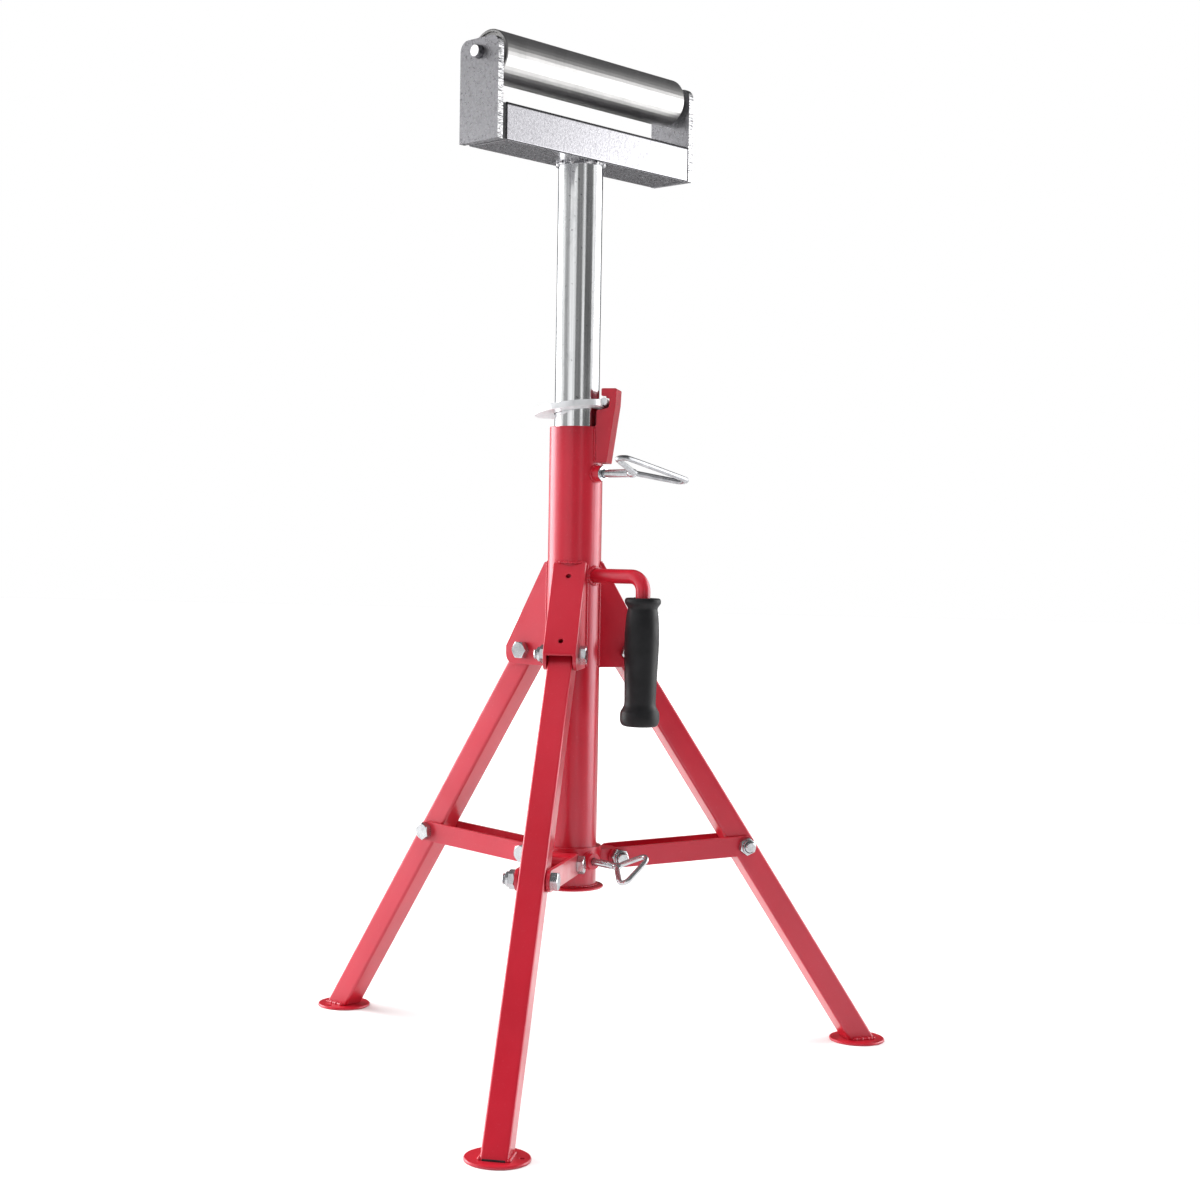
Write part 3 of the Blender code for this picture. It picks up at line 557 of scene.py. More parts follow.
def hammered(look):
    """Dimples with darker rims in a grey metallic paint: its colour, which the caller may mix further.

    On edges and bends the colour is painted near black, a painted dark reflection.
    """
    cells = look.cells(430)
    fine = look.noise(700, 3)
    rim = look.ramp(cells, 0.0, 1.0, 0.25, 0.75)
    base = look.blend(rim, (0.42, 0.415, 0.44), (0.31, 0.305, 0.325))
    look.bump(cells, 0.00011, 0.5)
    look.bump(fine, 0.00004, 0.35)
    flecked = look.blend(look.ramp(fine, 0.0, 0.4, 0.45, 0.7), base, (0.46, 0.46, 0.48))
    # Painted dark reflection: near black wherever the surface turns away from its flat faces.
    square = 0.0
    for axis in range(3):
        along = look.along_normal(turn=-HEAD_TURN, axis=axis)
        square = look.maths("MAXIMUM", square, look.maths("ABSOLUTE", along, 0.0))
    return look.blend(look.ramp(square, 1.0, 0.0, 0.86, 0.97), flecked, (0.035, 0.035, 0.038))


def grey_paint():
    """Hammertone, with painted shade in near black along the upper edge of the trough's walls."""
    look = Look("grey_paint", (0.30, 0.295, 0.31), 0.85, 0.3, Specular_IOR_Level=0.5)
    rim = HEAD_BOTTOM + TROUGH_HEIGHT
    # Painted shade: a near black band just under the top of the walls.
    painted_shade_rim = look.ramp(look.along(2), 0.0, 1.0, rim - 0.0034, rim - 0.0026)
    look.colour(look.blend(painted_shade_rim, hammered(look), (0.02, 0.02, 0.022)))
    look.roughness(look.ramp(look.noise(300, 3), 0.20, 0.30, 0.3, 0.7))
    return look.material


def grey_paint_painted_highlight():
    """Hammertone on a plate whose thin front edge is painted bright, a painted highlight, with dark marks
    across it.
    """
    look = Look("grey_paint_painted_highlight", (0.30, 0.295, 0.31), 0.85, 0.3, Specular_IOR_Level=0.5)
    paint = hammered(look)
    # Painted highlight: the faces that face the front are painted near white.
    facing = look.maths("MULTIPLY", look.along_normal(turn=-HEAD_TURN), -1.0)
    front = look.ramp(facing, 0.0, 1.0, 0.75, 0.9)
    marks = look.noise(90, 4, 0.7, vector=look.moved((1.2, 1.2, 8.0), turn=-HEAD_TURN))
    dark = look.ramp(marks, 0.0, 1.0, 0.47, 0.58)
    painted_highlight = look.blend(dark, (0.85, 0.85, 0.86), (0.10, 0.10, 0.11))
    look.colour(look.blend(front, paint, painted_highlight))
    look.roughness(look.ramp(look.noise(300, 3), 0.24, 0.38, 0.3, 0.7))
    look.bump(look.maths("MULTIPLY", marks, front), 0.0006, 0.8)
    return look.material


def galvanised():
    """Bright drawn tube: streaks along its length, dull spots and small pits."""
    look = Look("galvanised_steel", (0.78, 0.79, 0.80), 1.0, 0.16)
    look.set("Specular Tint", (0.62, 0.63, 0.64, 1))
    streaks = look.noise(420, 4, vector=look.moved((1, 1, 0.012)))
    broad = look.noise(60, 4, vector=look.moved((1, 1, 0.12)))
    pits = look.ramp(look.noise(260, 2), 0.0, 1.0, 0.68, 0.76)
    cloud = look.ramp(look.noise(55, 5, 0.65, 0.4, look.moved((1, 1, 0.35))), 0.0, 0.45, 0.52, 0.70)
    base = look.blend(look.ramp(streaks, 0.0, 1.0, 0.35, 0.65), (0.68, 0.69, 0.70), (0.86, 0.87, 0.88))
    dull = look.blend(cloud, base, (0.50, 0.51, 0.52))
    look.colour(look.blend(pits, dull, (0.30, 0.30, 0.31)))
    look.roughness(look.ramp(broad, 0.07, 0.22, 0.3, 0.7))
    look.bump(streaks, 0.00005, 0.3)
    look.bump(look.noise(140, 3), 0.00008, 0.25)
    return look.material


def zinc():
    """Zinc plate: bright, with a fine tooth and faintly cloudy patches."""
    look = Look("zinc_plate", (0.58, 0.59, 0.61), 0.92, 0.2)
    look.set("Specular Tint", (0.55, 0.56, 0.58, 1))
    cloud = look.noise(140, 4)
    look.colour(look.blend(look.ramp(cloud, 0.0, 1.0), (0.50, 0.51, 0.53), (0.64, 0.65, 0.67)))
    look.roughness(look.ramp(look.noise(300, 3), 0.12, 0.26, 0.3, 0.7))
    look.bump(look.noise(420, 2), 0.00002, 0.3)
    return look.material


def satin_zinc():
    """The cut plate of the clutch ring: the same plating on a duller, rolled surface."""
    look = Look("satin_zinc", (0.78, 0.79, 0.81), 0.5, 0.36)
    cloud = look.noise(90, 4)
    look.colour(look.blend(look.ramp(cloud, 0.0, 1.0), (0.72, 0.73, 0.75), (0.82, 0.83, 0.85)))
    look.roughness(look.ramp(look.noise(300, 3), 0.32, 0.42, 0.3, 0.7))
    look.bump(look.noise(420, 3), 0.00004, 0.4)
    return look.material


def loop_wire_painted_shade():
    """The upper loop's wire: the same plating, with its colour painted darker as painted shade, and rougher.
    """
    look = Look("loop_wire_painted_shade", (0.38, 0.385, 0.40), 1.0, 0.36)
    cloud = look.noise(140, 4)
    look.colour(look.blend(look.ramp(cloud, 0.0, 1.0), (0.30, 0.305, 0.32), (0.44, 0.445, 0.46)))
    look.roughness(look.ramp(look.noise(300, 3), 0.28, 0.40, 0.3, 0.7))
    look.bump(look.noise(420, 3), 0.00003, 0.4)
    return look.material


def turned_steel():
    """Bare turned steel: faint rings round the roller's axis and darker smears."""
    look = Look("bare_steel", (0.58, 0.57, 0.56), 1.0, 0.22)
    across = look.moved((2.4, 0.03, 0.03), turn=-HEAD_TURN)
    rings = look.noise(500, 4, vector=across)
    smear = look.noise(28, 5, distortion=0.6)
    base = look.blend(look.ramp(smear, 0.0, 1.0, 0.35, 0.65), (0.42, 0.415, 0.41), (0.50, 0.495, 0.49))
    look.colour(look.blend(look.ramp(rings, 0.0, 0.3), base, (0.56, 0.555, 0.55)))
    look.roughness(look.ramp(rings, 0.30, 0.36, 0.3, 0.7))
    look.bump(rings, 0.000004, 0.2)
    return look.material


def axle_steel():
    """The axle: dull round its side and painted near black there, a painted shade; its faced-off end is
    painted near white and not metallic, a painted highlight.
    """
    look = Look("axle_steel", (0.5, 0.5, 0.5), 1.0, 0.4)
    turned_way = look.along_normal(turn=-HEAD_TURN, axis=0)
    end = look.ramp(look.maths("ABSOLUTE", turned_way, 0.0), 0.0, 1.0, 0.8, 0.95)
    scuff = look.ramp(look.noise(400, 3), 0.0, 1.0, 0.35, 0.65)
    # Painted shade on the side, and a painted highlight on the end.
    side = look.blend(scuff, (0.10, 0.10, 0.11), (0.22, 0.22, 0.23))
    face = look.blend(scuff, (0.97, 0.97, 0.98), (0.90, 0.90, 0.91))
    look.colour(look.blend(end, side, face))
    look.roughness(look.ramp(end, 0.36, 0.7, 0.0, 1.0))
    look.link(look.ramp(end, 1.0, 0.0, 0.0, 1.0), look.shader.inputs["Metallic"])
    look.bump(look.noise(500, 3), 0.00005, 0.4)
    return look.material


def rubber():
    """Moulded rubber: matt, with a fine grain and a few duller rubbed patches."""
    look = Look("black_rubber", (0.008, 0.008, 0.0092), 0.0, 0.5, Specular_IOR_Level=0.24)
    rubbed = look.ramp(look.noise(45, 4), 0.0, 1.0, 0.4, 0.7)
    look.colour(look.blend(rubbed, (0.007, 0.007, 0.0082), (0.013, 0.013, 0.0145)))
    look.roughness(look.ramp(look.noise(70, 3), 0.40, 0.54, 0.3, 0.7))
    look.bump(look.noise(1500, 2), 0.00005, 0.5)
    return look.material


def nylon():
    """Pale moulded nylon with a soft mottle."""
    look = Look("nylon", (0.80, 0.79, 0.73), 0.0, 0.45, Subsurface_Weight=0.05)
    look.colour(look.blend(look.ramp(look.noise(60, 3), 0.0, 1.0), (0.76, 0.75, 0.69), (0.83, 0.82, 0.76)))
    look.roughness(look.ramp(look.noise(300, 3), 0.38, 0.55, 0.3, 0.7))
    look.bump(look.noise(800, 2), 0.00004, 0.4)
    return look.material


def insert_nylon():
    """The dark locking ring in a nut."""
    look = Look("insert_nylon", (0.03, 0.035, 0.05), 0.0, 0.5)
    mottle = look.ramp(look.noise(300, 3), 0.0, 1.0)
    look.colour(look.blend(mottle, (0.02, 0.024, 0.035), (0.05, 0.055, 0.07)))
    look.roughness(look.ramp(look.noise(500, 3), 0.42, 0.6, 0.3, 0.7))
    look.bump(look.noise(900, 2), 0.00004, 0.4)
    return look.material


def weld_steel():
    """Bare weld on the galvanised post: dull grey and spattered."""
    look = Look("weld_steel", (0.35, 0.35, 0.36), 0.9, 0.45)
    spots = look.noise(240, 4, distortion=0.4)
    look.colour(look.blend(look.ramp(spots, 0.0, 1.0, 0.42, 0.58), (0.10, 0.10, 0.11), (0.62, 0.62, 0.63)))
    look.roughness(look.ramp(look.noise(400, 3), 0.25, 0.6, 0.3, 0.7))
    look.bump(look.noise(500, 3), 0.0002, 0.6)
    return look.material


def painted_shade_black():
    """Painted shade for unlit slits and grooves: near black, with a little grain."""
    look = Look("painted_shade_black", (0.02, 0.02, 0.022), 0.2, 0.6)
    grain = look.ramp(look.noise(300, 3), 0.0, 1.0)
    look.colour(look.blend(grain, (0.012, 0.012, 0.013), (0.04, 0.04, 0.043)))
    look.roughness(look.ramp(look.noise(400, 3), 0.5, 0.7, 0.3, 0.7))
    look.bump(look.noise(500, 2), 0.0002, 0.5)
    return look.material


for old in list(bpy.data.materials):
    bpy.data.materials.remove(old)

RED = red_paint()
GREY = grey_paint()
GREY_PAINTED_HIGHLIGHT = grey_paint_painted_highlight()
GALVANISED = galvanised()
ZINC = zinc()
SATIN = satin_zinc()
WIRE = loop_wire_painted_shade()
STEEL = turned_steel()
RUBBER = rubber()
NYLON = nylon()
INSERT = insert_nylon()
WELD = weld_steel()
SHADE_BLACK = painted_shade_black()
AXLE = axle_steel()
SLOT_LOOKS = {
    "red_paint": RED,
    "grey_paint": GREY,
    "galvanised_steel": GALVANISED,
    "zinc_plate": ZINC,
    "bare_steel": STEEL,
    "black_rubber": RUBBER,
    "nylon": NYLON,
}
BODY_OF = {node: body for body, members in frame["record"]["behaviour"]["bodies"].items() for node in members}

for part in frame["record"]["subparts"]:
    slots = nodes[part["node"]].data.materials
    slots.clear()
    slots.append(SLOT_LOOKS[part["material_slot"]])


# Sheet metal, tubes and turned parts with rounded edges

for node, width in (
    ("outer_tube", 0.0006),
    ("base_flange", 0.0005),
    ("leg_collar", 0.0006),
    ("post_lock_boss", 0.0006),
    ("collar_lock_boss", 0.0006),
):
    edged(node, RED, BODY_OF[node], width)
for word in STATIONS:
    for node in (f"leg_{word}", f"foot_{word}", f"brace_{word}"):
        edged(node, RED, BODY_OF[node])
    leg_bracket(word)
edged("latch_bracket", RED, "frame")
trough()
for word in ("near", "far"):
    # The end plates' front edges carry a painted highlight.
    edged(f"end_plate_{word}", GREY_PAINTED_HIGHLIGHT, "post", 0.0007)
edged("roller_axle", AXLE, "post", 0.0004)
edged("inner_post", GALVANISED, "post", 0.0008)
edged("clutch_ring", SATIN, "clutch_ring", 0.0012)
# The upper loop gets a darker copy of the plating, painted shade.
smoothed("post_lock_loop", WIRE, "post_lock")
smoothed("collar_lock_loop", ZINC, "collar_lock")
carry_rod()
grip()


# Bolts and nuts


def hexagon(thick, chamfer_below):
    """A hexagon along Z from 0 to thick, with its corners cut back by a cone."""
    clear()
    corner = HEX_FLATS / math.sqrt(3)
    bpy.ops.mesh.primitive_cylinder_add(vertices=6, radius=corner, depth=thick, location=(0, 0, thick / 2))
    obj = bpy.context.object
    face_r = HEX_FLATS * 0.475
    wide = corner * 1.03
    fall = (wide - face_r) * math.tan(math.radians(30))
    profile = [(face_r, 0), (wide, fall)] if chamfer_below else [(wide, -0.001)]
    cone = lathe([*profile, (wide, thick - fall), (face_r, thick)])
    cut(obj, "INTERSECT", cone)
    return eased(obj, 0.0002, 2, 25)


def threaded(start, end):
    """A threaded rod along Z that ends in a chamfer."""
    profile = [(BOLT_R, start)]
    height = end - 0.001
    count = int((height - start) / THREAD_PITCH)
    first = height - count * THREAD_PITCH
    profile.append((BOLT_R, first))
    for turn in range(count):
        foot = first + turn * THREAD_PITCH
        profile.append((BOLT_R * 0.9, foot + THREAD_PITCH * 0.45))
        profile.append((BOLT_R, foot + THREAD_PITCH * 0.9))
        profile.append((BOLT_R, foot + THREAD_PITCH))
    profile.append((BOLT_R * 0.84, end))
    return lathe(profile, 32)


FACE = CHANNEL_HALF + GAP
ALONG = Matrix.Rotation(math.radians(90), 4, "Y")
BACK = Matrix.Rotation(math.radians(-90), 4, "Y")


def bolt_pattern(reach):
    """A bolt along X with its head on the + side and its shank reaching in to x = reach."""
    head = hexagon(HEX_HEAD, False)
    washer = lathe([(0.0086, -0.0001), (0.0086, 0.0006)])
    cut(head, "UNION", washer)
    placed(head, ALONG @ Matrix.Translation((0, 0, FACE)))
    if reach < 0:
        shank = placed(threaded(-FACE, -reach), BACK)
    else:
        shank = placed(lathe([(BOLT_R, reach), (BOLT_R, FACE)], 32), ALONG)
    only(head, shank)
    bpy.ops.object.join()
    return bpy.context.object


def nut_pattern():
    """A lock nut on the - side: a hexagon, then a round collar that holds the locking ring."""
    hexed = 0.0068
    body = hexagon(hexed, True)
    collar = lathe(
        [
            (0.0081, hexed - 0.0006),
            (0.0081, NUT_THICK - 0.0011),
            (0.0077, NUT_THICK - 0.0003),
            (0.0070, NUT_THICK),
        ]
    )
    cut(body, "UNION", collar)
    cut(body, "DIFFERENCE", lathe([(BOLT_R + GAP, -0.001), (BOLT_R + GAP, NUT_THICK + 0.001)], 32))
    cut(body, "DIFFERENCE", lathe([(0.0070, NUT_THICK - 0.0014), (0.0070, NUT_THICK + 0.001)], 32))
    return placed(body, BACK @ Matrix.Translation((0, 0, FACE)))


def insert_pattern():
    """The locking ring inside a nut's collar."""
    ring = lathe(
        [
            (BOLT_R + 0.0001, NUT_THICK - 0.0013),
            (0.00685, NUT_THICK - 0.0013),
            (0.00685, NUT_THICK - 0.0006),
            (BOLT_R + 0.0001, NUT_THICK - 0.0006),
        ],
        32,
        True,
    )
    return placed(ring, BACK @ Matrix.Translation((0, 0, FACE)))


TAIL = FACE + NUT_THICK + THREAD_PROUD
STUB = CHANNEL_HALF - 0.004 + GAP
through = bolt_pattern(-TAIL)
short = bolt_pattern(STUB)
nut = nut_pattern()
insert = insert_pattern()
end = placed(threaded(STUB, TAIL), BACK)
threaded_nut = copied(nut, Matrix())
only(threaded_nut, copied(end, Matrix()))
bpy.ops.object.join()
threaded_nut = bpy.context.object

turn_by = 0
for word, station in STATIONS.items():
    for bolt_node, nut_node, (radius, height), head_look, nut_look in (
        (f"hip_bolt_{word}", f"hip_nut_{word}", HIP, through, nut),
        (f"collar_bolt_{word}", f"collar_nut_{word}", COLLAR_PIVOT, through, nut),
        (f"brace_bolt_head_{word}", f"brace_bolt_nut_{word}", BRACE_PIN, short, threaded_nut),
    ):
        spot = at_station(station, 0, radius, height)
        # Each hexagon stops at its own angle, as hand-tightened bolts do.
        turn_by += 17
        both = ((bolt_node, head_look, turn_by), (nut_node, nut_look, -turn_by * 2))
        for node, pattern, turned_by in both:
            turn = Matrix.Rotation(math.radians(turned_by), 4, "X")
            piece = copied(pattern, spot @ turn)
            finished(piece, f"{node}_finished", BODY_OF[node], ZINC, 30)
            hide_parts(node)
        ring = copied(insert, spot)
        finished(ring, f"{nut_node}_insert", BODY_OF[nut_node], INSERT)
for pattern in (through, short, nut, insert, end, threaded_nut):
    bpy.data.objects.remove(pattern)


# Welds


DROP_PITCH = 0.75


def bead(name, path, radius, body, look=RED):
    """A weld along a path: one flattened drop after another, run together by remeshing."""
    drops = []
    travelled = 0.0
    spots = []
    for start, stop in zip(path, path[1:]):
        run = (stop - start).length
        while travelled <= run:
            spots.append(start.lerp(stop, travelled / run if run else 0))
            travelled += radius * DROP_PITCH
        travelled -= run
    for index, spot in enumerate(spots):
        swell = 1 + 0.16 * math.sin(index * 2.4) + 0.10 * math.sin(index * 1.1 + 1)
        clear()
        bpy.ops.mesh.primitive_ico_sphere_add(subdivisions=2, radius=radius * swell, location=spot)
        drops.append(bpy.context.object)
    only(*drops)
    bpy.ops.object.join()
    obj = bpy.context.object
    modified(obj, "REMESH", mode="VOXEL", voxel_size=radius * 0.24)
    modified(obj, "SMOOTH", factor=0.5, iterations=2)
    finished(obj, name, body, look, 80)


def round_turns(steps):
    """The angles of a full turn in even steps, the first one again at the end."""
    return [2 * math.pi * step / steps for step in range(steps + 1)]


def ring_path(radius, height):
    """A level circle round the column."""
    return [Vector((radius * math.cos(a), radius * math.sin(a), height)) for a in round_turns(48)]


def on_tube(station, tangent, height, surface_r=TUBE_R, out=0.0):
    """A point on a round tube's surface at a distance beside a station's line."""
    radius = math.sqrt(surface_r**2 - tangent**2) + out
    return at_station(station) @ Vector((tangent, -radius, height))


def rod_ring(station, height, radius, surface_r=TUBE_R):
    """The line where a radial rod of this radius meets the tube."""
    path = []
    for angle in round_turns(40):
        beside, above = radius * math.cos(angle), radius * math.sin(angle)
        path.append(on_tube(station, beside, height + above, surface_r, 0.0006))
    return path


def beside_channel(station, edge, heights):
    """Up the tube beside a channel's cut edge."""
    return [on_tube(station, edge, z, TUBE_R, 0.0004) for z in heights]


def beside_leg(station, edge):
    """Along a foot disc beside the leg."""
    place = at_station(station)
    return [place @ Vector((edge, -r, FOOT_TOP + 0.0008)) for r in (FOOT_R - 0.013, FOOT_R + 0.013)]


def over_bracket(station):
    """Across the top of a bracket, from one cheek to the other."""
    steps = 8
    shares = [step / steps for step in range(-steps, steps + 1)]
    return [on_tube(station, share * 0.0165, BRACKET_TOP + 0.0002, TUBE_R, 0.0006) for share in shares]


bead("handle_weld", rod_ring(HANDLE_STATION, HANDLE_Z, 0.0094), 0.0020, "frame")
bead("post_boss_weld", rod_ring(*POST_LOCK, LOCK_BOSS_R + 0.0003), 0.0012, "frame")
bead("collar_boss_weld", rod_ring(*COLLAR_LOCK, LOCK_BOSS_R + 0.0003, COLLAR_R), 0.0011, "collar")
for word, station in STATIONS.items():
    for side, sign in (("a", 1), ("b", -1)):
        heights = (BRACKET_BOTTOM + 0.003, BRACKET_TOP - 0.002)
        path = beside_channel(station, sign * (CHANNEL_HALF + 0.0005), heights)
        bead(f"bracket_weld_{word}_{side}", path, 0.0014, "frame")
        path = beside_leg(station, sign * (LEG_HALF + 0.0004))
        bead(f"foot_weld_{word}_{side}", path, 0.0021, f"leg_{word}")
        path = [on_tube(station, sign * LUG_SIDE, z, COLLAR_R, 0.0002) for z in LUG_WELD]
        bead(f"lug_weld_{word}_{side}", path, 0.0012, "collar")
    bead(f"bracket_top_weld_{word}", over_bracket(station), 0.0014, "frame")
for side, sign in (("a", 1), ("b", -1)):
    path = beside_channel(LATCH_STATION, sign * (CHANNEL_HALF + 0.0004), LATCH_WELD)
    bead(f"latch_weld_{side}", path, 0.0013, "frame")
bead("flange_weld", ring_path(TUBE_R + 0.0006, TUBE_BOTTOM + 0.0008), 0.0013, "frame")
bead("head_weld", ring_path(POST_R + 0.0009, HEAD_BOTTOM - 0.0012), 0.0021, "post", WELD)


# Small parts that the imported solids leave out


def lock_weld(name, station, height, wire_r, body):
    """The lump of weld that joins a lock screw to its loop."""
    clear()
    size = (1.1, 1.25, 0.95)
    bpy.ops.mesh.primitive_uv_sphere_add(segments=24, ring_count=16, radius=wire_r * 1.25, scale=size)
    bpy.ops.object.transform_apply(location=True, rotation=True, scale=True)
    obj = bpy.context.object
    placed(obj, at_station(station, 0, LOOP_APEX - wire_r * 0.9, height))
    finished(obj, name, body, ZINC, 80)


lock_weld("post_loop_weld", *POST_LOCK, POST_WIRE_R, "post_lock")
lock_weld("collar_loop_weld", *COLLAR_LOCK, COLLAR_WIRE_R, "collar_lock")


def foot_gap_shade(word):
    """A thin near black block, painted shade for the dark slit where a leg's cut end stands clear of its foot
    disc on the outer side.
    """
    tall = 0.0020
    outer = FOOT_R - 0.002 + LEG_HALF / math.cos(math.atan2(FOOT_R - HIP[0], HIP[1]))
    obj = block((2 * LEG_HALF - 0.0055, 0.0009, tall), (0, -outer, FOOT_TOP + tall / 2))
    eased(obj, 0.0002, 2)
    placed(obj, at_station(STATIONS[word]))
    finished(obj, f"foot_gap_shade_{word}", f"leg_{word}", SHADE_BLACK)


for word in STATIONS:
    foot_gap_shade(word)


def boss_washer():
    """The bright ring on the end of the upper lock screw's boss."""
    bore = 0.0052
    rim = [(0.0086, 0.0), (0.0089, 0.0004), (0.0089, 0.0012), (0.0084, 0.0018)]
    obj = lathe([(bore, 0.0), *rim, (bore, 0.0018)], 48, True)
    station, height = POST_LOCK
    placed(obj, at_station(station, 0, BOSS_END, height) @ Matrix.Rotation(math.radians(90), 4, "X"))
    finished(obj, "post_lock_washer", "frame", ZINC)


boss_washer()


# Stage, camera and lights

PHOTO_SIZE = 1200
FOCAL_PX = 1925.1
CENTRE_PX = (495.7, 610.6)
CAMERA_AT = Vector((0.3769, -2.1373, 0.5815))
CAMERA_YAW = 12.32
CAMERA_PITCH = -1.91
CAMERA_ROLL = 0.86
SENSOR = 36.0
CAMERA_BEARING = 10.0
SOFTBOX_R = 2.3
FLAG_R = 2.7
AMBIENT = 0.28
LEFT_BEARING = -105
LEFT_RISE = math.radians(12)
LEFT_LIGHT = 9.0
LEFT_FOCUS = 10


def camera():
    """The camera, with its place and lens as worked out from the photograph."""
    data = bpy.data.cameras.new("camera")
    data.sensor_width = SENSOR
    data.lens = FOCAL_PX / PHOTO_SIZE * SENSOR
    data.shift_x = (PHOTO_SIZE / 2 - CENTRE_PX[0]) / PHOTO_SIZE
    data.shift_y = (CENTRE_PX[1] - PHOTO_SIZE / 2) / PHOTO_SIZE
    obj = bpy.data.objects.new("camera", data)
    scene.collection.objects.link(obj)
    yaw = math.radians(CAMERA_YAW)
    forward = Vector((-math.sin(yaw), math.cos(yaw), 0))
    right = Vector((math.cos(yaw), math.sin(yaw), 0))
    up = Vector((0, 0, 1))
    pitch, roll = math.radians(CAMERA_PITCH), math.radians(CAMERA_ROLL)
    ahead = math.cos(pitch) * forward + math.sin(pitch) * up
    rise = -math.sin(pitch) * forward + math.cos(pitch) * up
    side = math.cos(roll) * right + math.sin(roll) * rise
    top = -math.sin(roll) * right + math.cos(roll) * rise
    turn = Matrix((side, top, -ahead)).transposed().to_4x4()
    obj.matrix_world = Matrix.Translation(CAMERA_AT) @ turn
    scene.camera = obj


def beside_camera(bearing, distance, height):
    """A point round the column. Its bearing is from the camera's side, in degrees, + to the right."""
    angle = math.radians(bearing - 90 + CAMERA_BEARING)
    return (distance * math.cos(angle), distance * math.sin(angle), height)


def plain(name, build):
    """A material of the studio, made by a function that returns its surface."""
    material = bpy.data.materials.new(name)
    material.use_nodes = True
    tree = material.node_tree
    tree.nodes.clear()
    output = tree.nodes.new("ShaderNodeOutputMaterial")
    tree.links.new(build(tree), output.inputs["Surface"])
    return material


def maths(tree, operation, *values):
    """One step of arithmetic on numbers and sockets."""
    node = tree.nodes.new("ShaderNodeMath")
    node.operation = operation
    for socket, value in zip(node.inputs, values):
        if isinstance(value, (int, float)):
            socket.default_value = value
        else:
            tree.links.new(value, socket)
    return node.outputs[0]


def ranged(tree, value, low, high, start=0.0, end=1.0):
    """Turns a value's start to end into low to high."""
    node = tree.nodes.new("ShaderNodeMapRange")
    tree.links.new(value, node.inputs["Value"])
    for socket, limit in (("From Min", start), ("From Max", end), ("To Min", low), ("To Max", high)):
        if isinstance(limit, (int, float)):
            node.inputs[socket].default_value = limit
        else:
            tree.links.new(limit, node.inputs[socket])
    return node.outputs["Result"]


def floor():
    """A white floor. Farther from the stand the camera sees it brighter, so that it meets the backdrop."""

    def build(tree):
        diffuse = tree.nodes.new("ShaderNodeBsdfDiffuse")
        diffuse.inputs["Color"].default_value = (0.86, 0.86, 0.86, 1)
        glow = tree.nodes.new("ShaderNodeEmission")
        seen = tree.nodes.new("ShaderNodeLightPath").outputs["Is Camera Ray"]
        away = tree.nodes.new("ShaderNodeVectorMath")
        away.operation = "LENGTH"
        tree.links.new(tree.nodes.new("ShaderNodeTexCoord").outputs["Object"], away.inputs[0])
        lift = ranged(tree, away.outputs["Value"], 0.0, 0.85, 0.9, 4.2)
        tree.links.new(maths(tree, "MULTIPLY", seen, lift), glow.inputs["Strength"])
        both = tree.nodes.new("ShaderNodeAddShader")
        tree.links.new(diffuse.outputs[0], both.inputs[0])
        tree.links.new(glow.outputs[0], both.inputs[1])
        return both.outputs[0]

    clear()
    bpy.ops.mesh.primitive_plane_add(size=30, location=(0, 0, -0.0002))
    obj = bpy.context.object
    obj.name = "floor"
    obj.data.materials.append(plain("floor", build))


def world():
    """White for the camera and for reflections. For all else it is a soft light, brighter on the left."""
    made = bpy.data.worlds.new("studio")
    made.use_nodes = True
    tree = made.node_tree
    background = tree.nodes["Background"]
    background.inputs["Color"].default_value = (1, 1, 1, 1)
    path = tree.nodes.new("ShaderNodeLightPath")
    plainly = path.outputs["Is Camera Ray"]
    for ray in ("Is Glossy Ray", "Is Transmission Ray"):
        plainly = maths(tree, "MAXIMUM", plainly, path.outputs[ray])
    leftward = tree.nodes.new("ShaderNodeVectorMath")
    leftward.operation = "DOT_PRODUCT"
    aim = beside_camera(LEFT_BEARING, math.cos(LEFT_RISE), math.sin(LEFT_RISE))
    leftward.inputs[1].default_value = aim
    tree.links.new(tree.nodes.new("ShaderNodeTexCoord").outputs["Generated"], leftward.inputs[0])
    ahead = maths(tree, "MAXIMUM", leftward.outputs["Value"], 0.0)
    narrowed = maths(tree, "POWER", ahead, LEFT_FOCUS)
    soft = maths(tree, "MULTIPLY_ADD", narrowed, LEFT_LIGHT, AMBIENT)
    tree.links.new(ranged(tree, plainly, soft, 1.0), background.inputs["Strength"])
    scene.world = made


def area_light(name, size, energy):
    """A rectangular light that the camera doesn't see."""
    data = bpy.data.lights.new(name, "AREA")
    data.shape = "RECTANGLE"
    data.size, data.size_y = size
    data.energy = energy
    obj = bpy.data.objects.new(name, data)
    scene.collection.objects.link(obj)
    obj.visible_camera = False
    return obj


def softbox(name, bearing, height, size, radiance):
    """An upright light that faces the column."""
    obj = area_light(name, size, radiance * math.pi * size[0] * size[1])
    obj.location = beside_camera(bearing, SOFTBOX_R, height)
    aim = Vector((0, 0, height)) - obj.location
    obj.rotation_euler = aim.to_track_quat("-Z", "Z").to_euler()


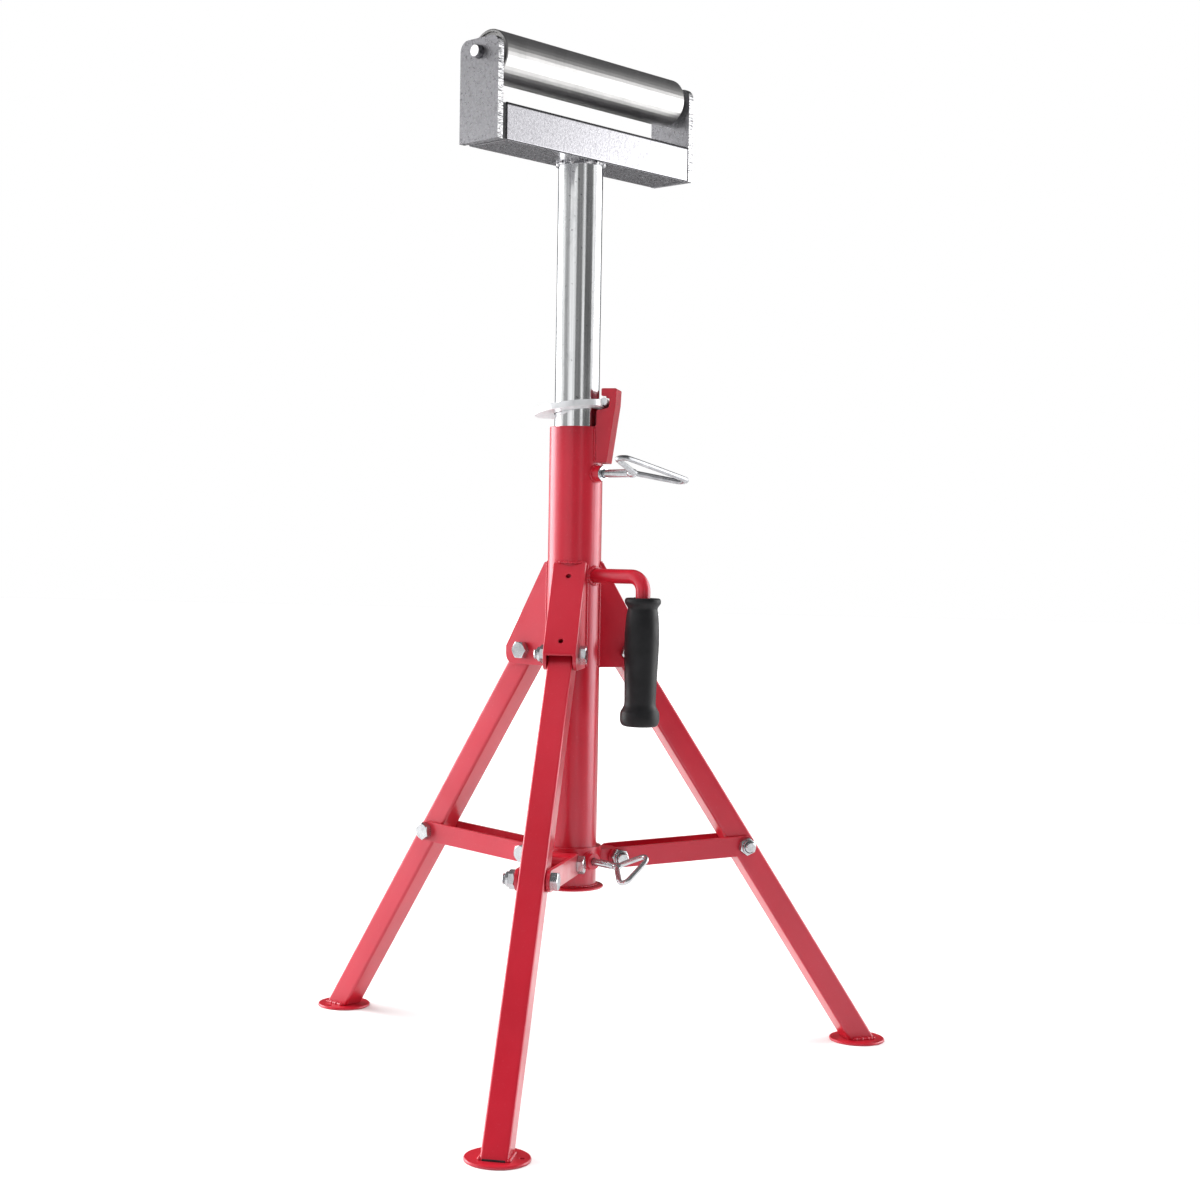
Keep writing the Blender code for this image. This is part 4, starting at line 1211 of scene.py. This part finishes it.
def top_light():
    """A light overhead that reflections don't see."""
    obj = area_light("top_box", (2.0, 2.0), 60)
    obj.location = (0.2, -0.6, 2.8)
    obj.visible_glossy = False


def for_reflections(obj, name, build):
    """Names a screen and lets only reflections see it."""
    obj.name = name
    obj.data.materials.append(plain(name, build))
    obj.visible_camera = False
    obj.visible_diffuse = False
    obj.visible_shadow = False
    obj.visible_transmission = False


def flag(name, start, stop, level, low=-0.2, high=3.0, foot=None):
    """A grey screen that only reflections see, from one bearing to another.

    Its level may fade upward from another level at its foot.
    """

    def build(tree):
        glow = tree.nodes.new("ShaderNodeEmission")
        if foot:
            split = tree.nodes.new("ShaderNodeSeparateXYZ")
            tree.links.new(tree.nodes.new("ShaderNodeTexCoord").outputs["Object"], split.inputs[0])
            fade = ranged(tree, split.outputs[2], foot, level, low, high)
            tree.links.new(fade, glow.inputs["Strength"])
        else:
            glow.inputs["Strength"].default_value = level
        return glow.outputs[0]

    clear()
    bpy.ops.mesh.primitive_plane_add(size=1)
    obj = bpy.context.object
    corners = [(start, low), (stop, low), (start, high), (stop, high)]
    for vertex, (bearing, height) in zip(obj.data.vertices, corners):
        vertex.co = beside_camera(bearing, FLAG_R, height)
    for_reflections(obj, name, build)


def ceiling():
    """The dark room above the lights, which only reflections see."""

    def build(tree):
        glow = tree.nodes.new("ShaderNodeEmission")
        glow.inputs["Color"].default_value = (0.12, 0.12, 0.125, 1)
        return glow.outputs[0]

    clear()
    bpy.ops.mesh.primitive_plane_add(size=9, location=(0, 0, 2.7))
    for_reflections(bpy.context.object, "ceiling", build)


scene.view_settings.view_transform = "Standard"
camera()
floor()
world()
softbox("left_box", -117, 0.72, (3.6, 1.45), 4.6)
softbox("right_box", 109, 0.78, (3.6, 1.56), 3.6)
top_light()
flag("flag_left", -77, -50, 0.42)
flag("flag_middle", -15, 17, 0.24)
flag("flag_right", 29, 70, 0.16)
flag("ceiling_left", -160, -78, 0.13, 1.45, 4.5)
flag("fade_right", 70, 150, 0.30, 1.56, 2.1, foot=2.2)
flag("ceiling_right", 70, 150, 0.30, 2.1, 4.5)
flag("flag_back", 151, 209, 0.07)
ceiling()
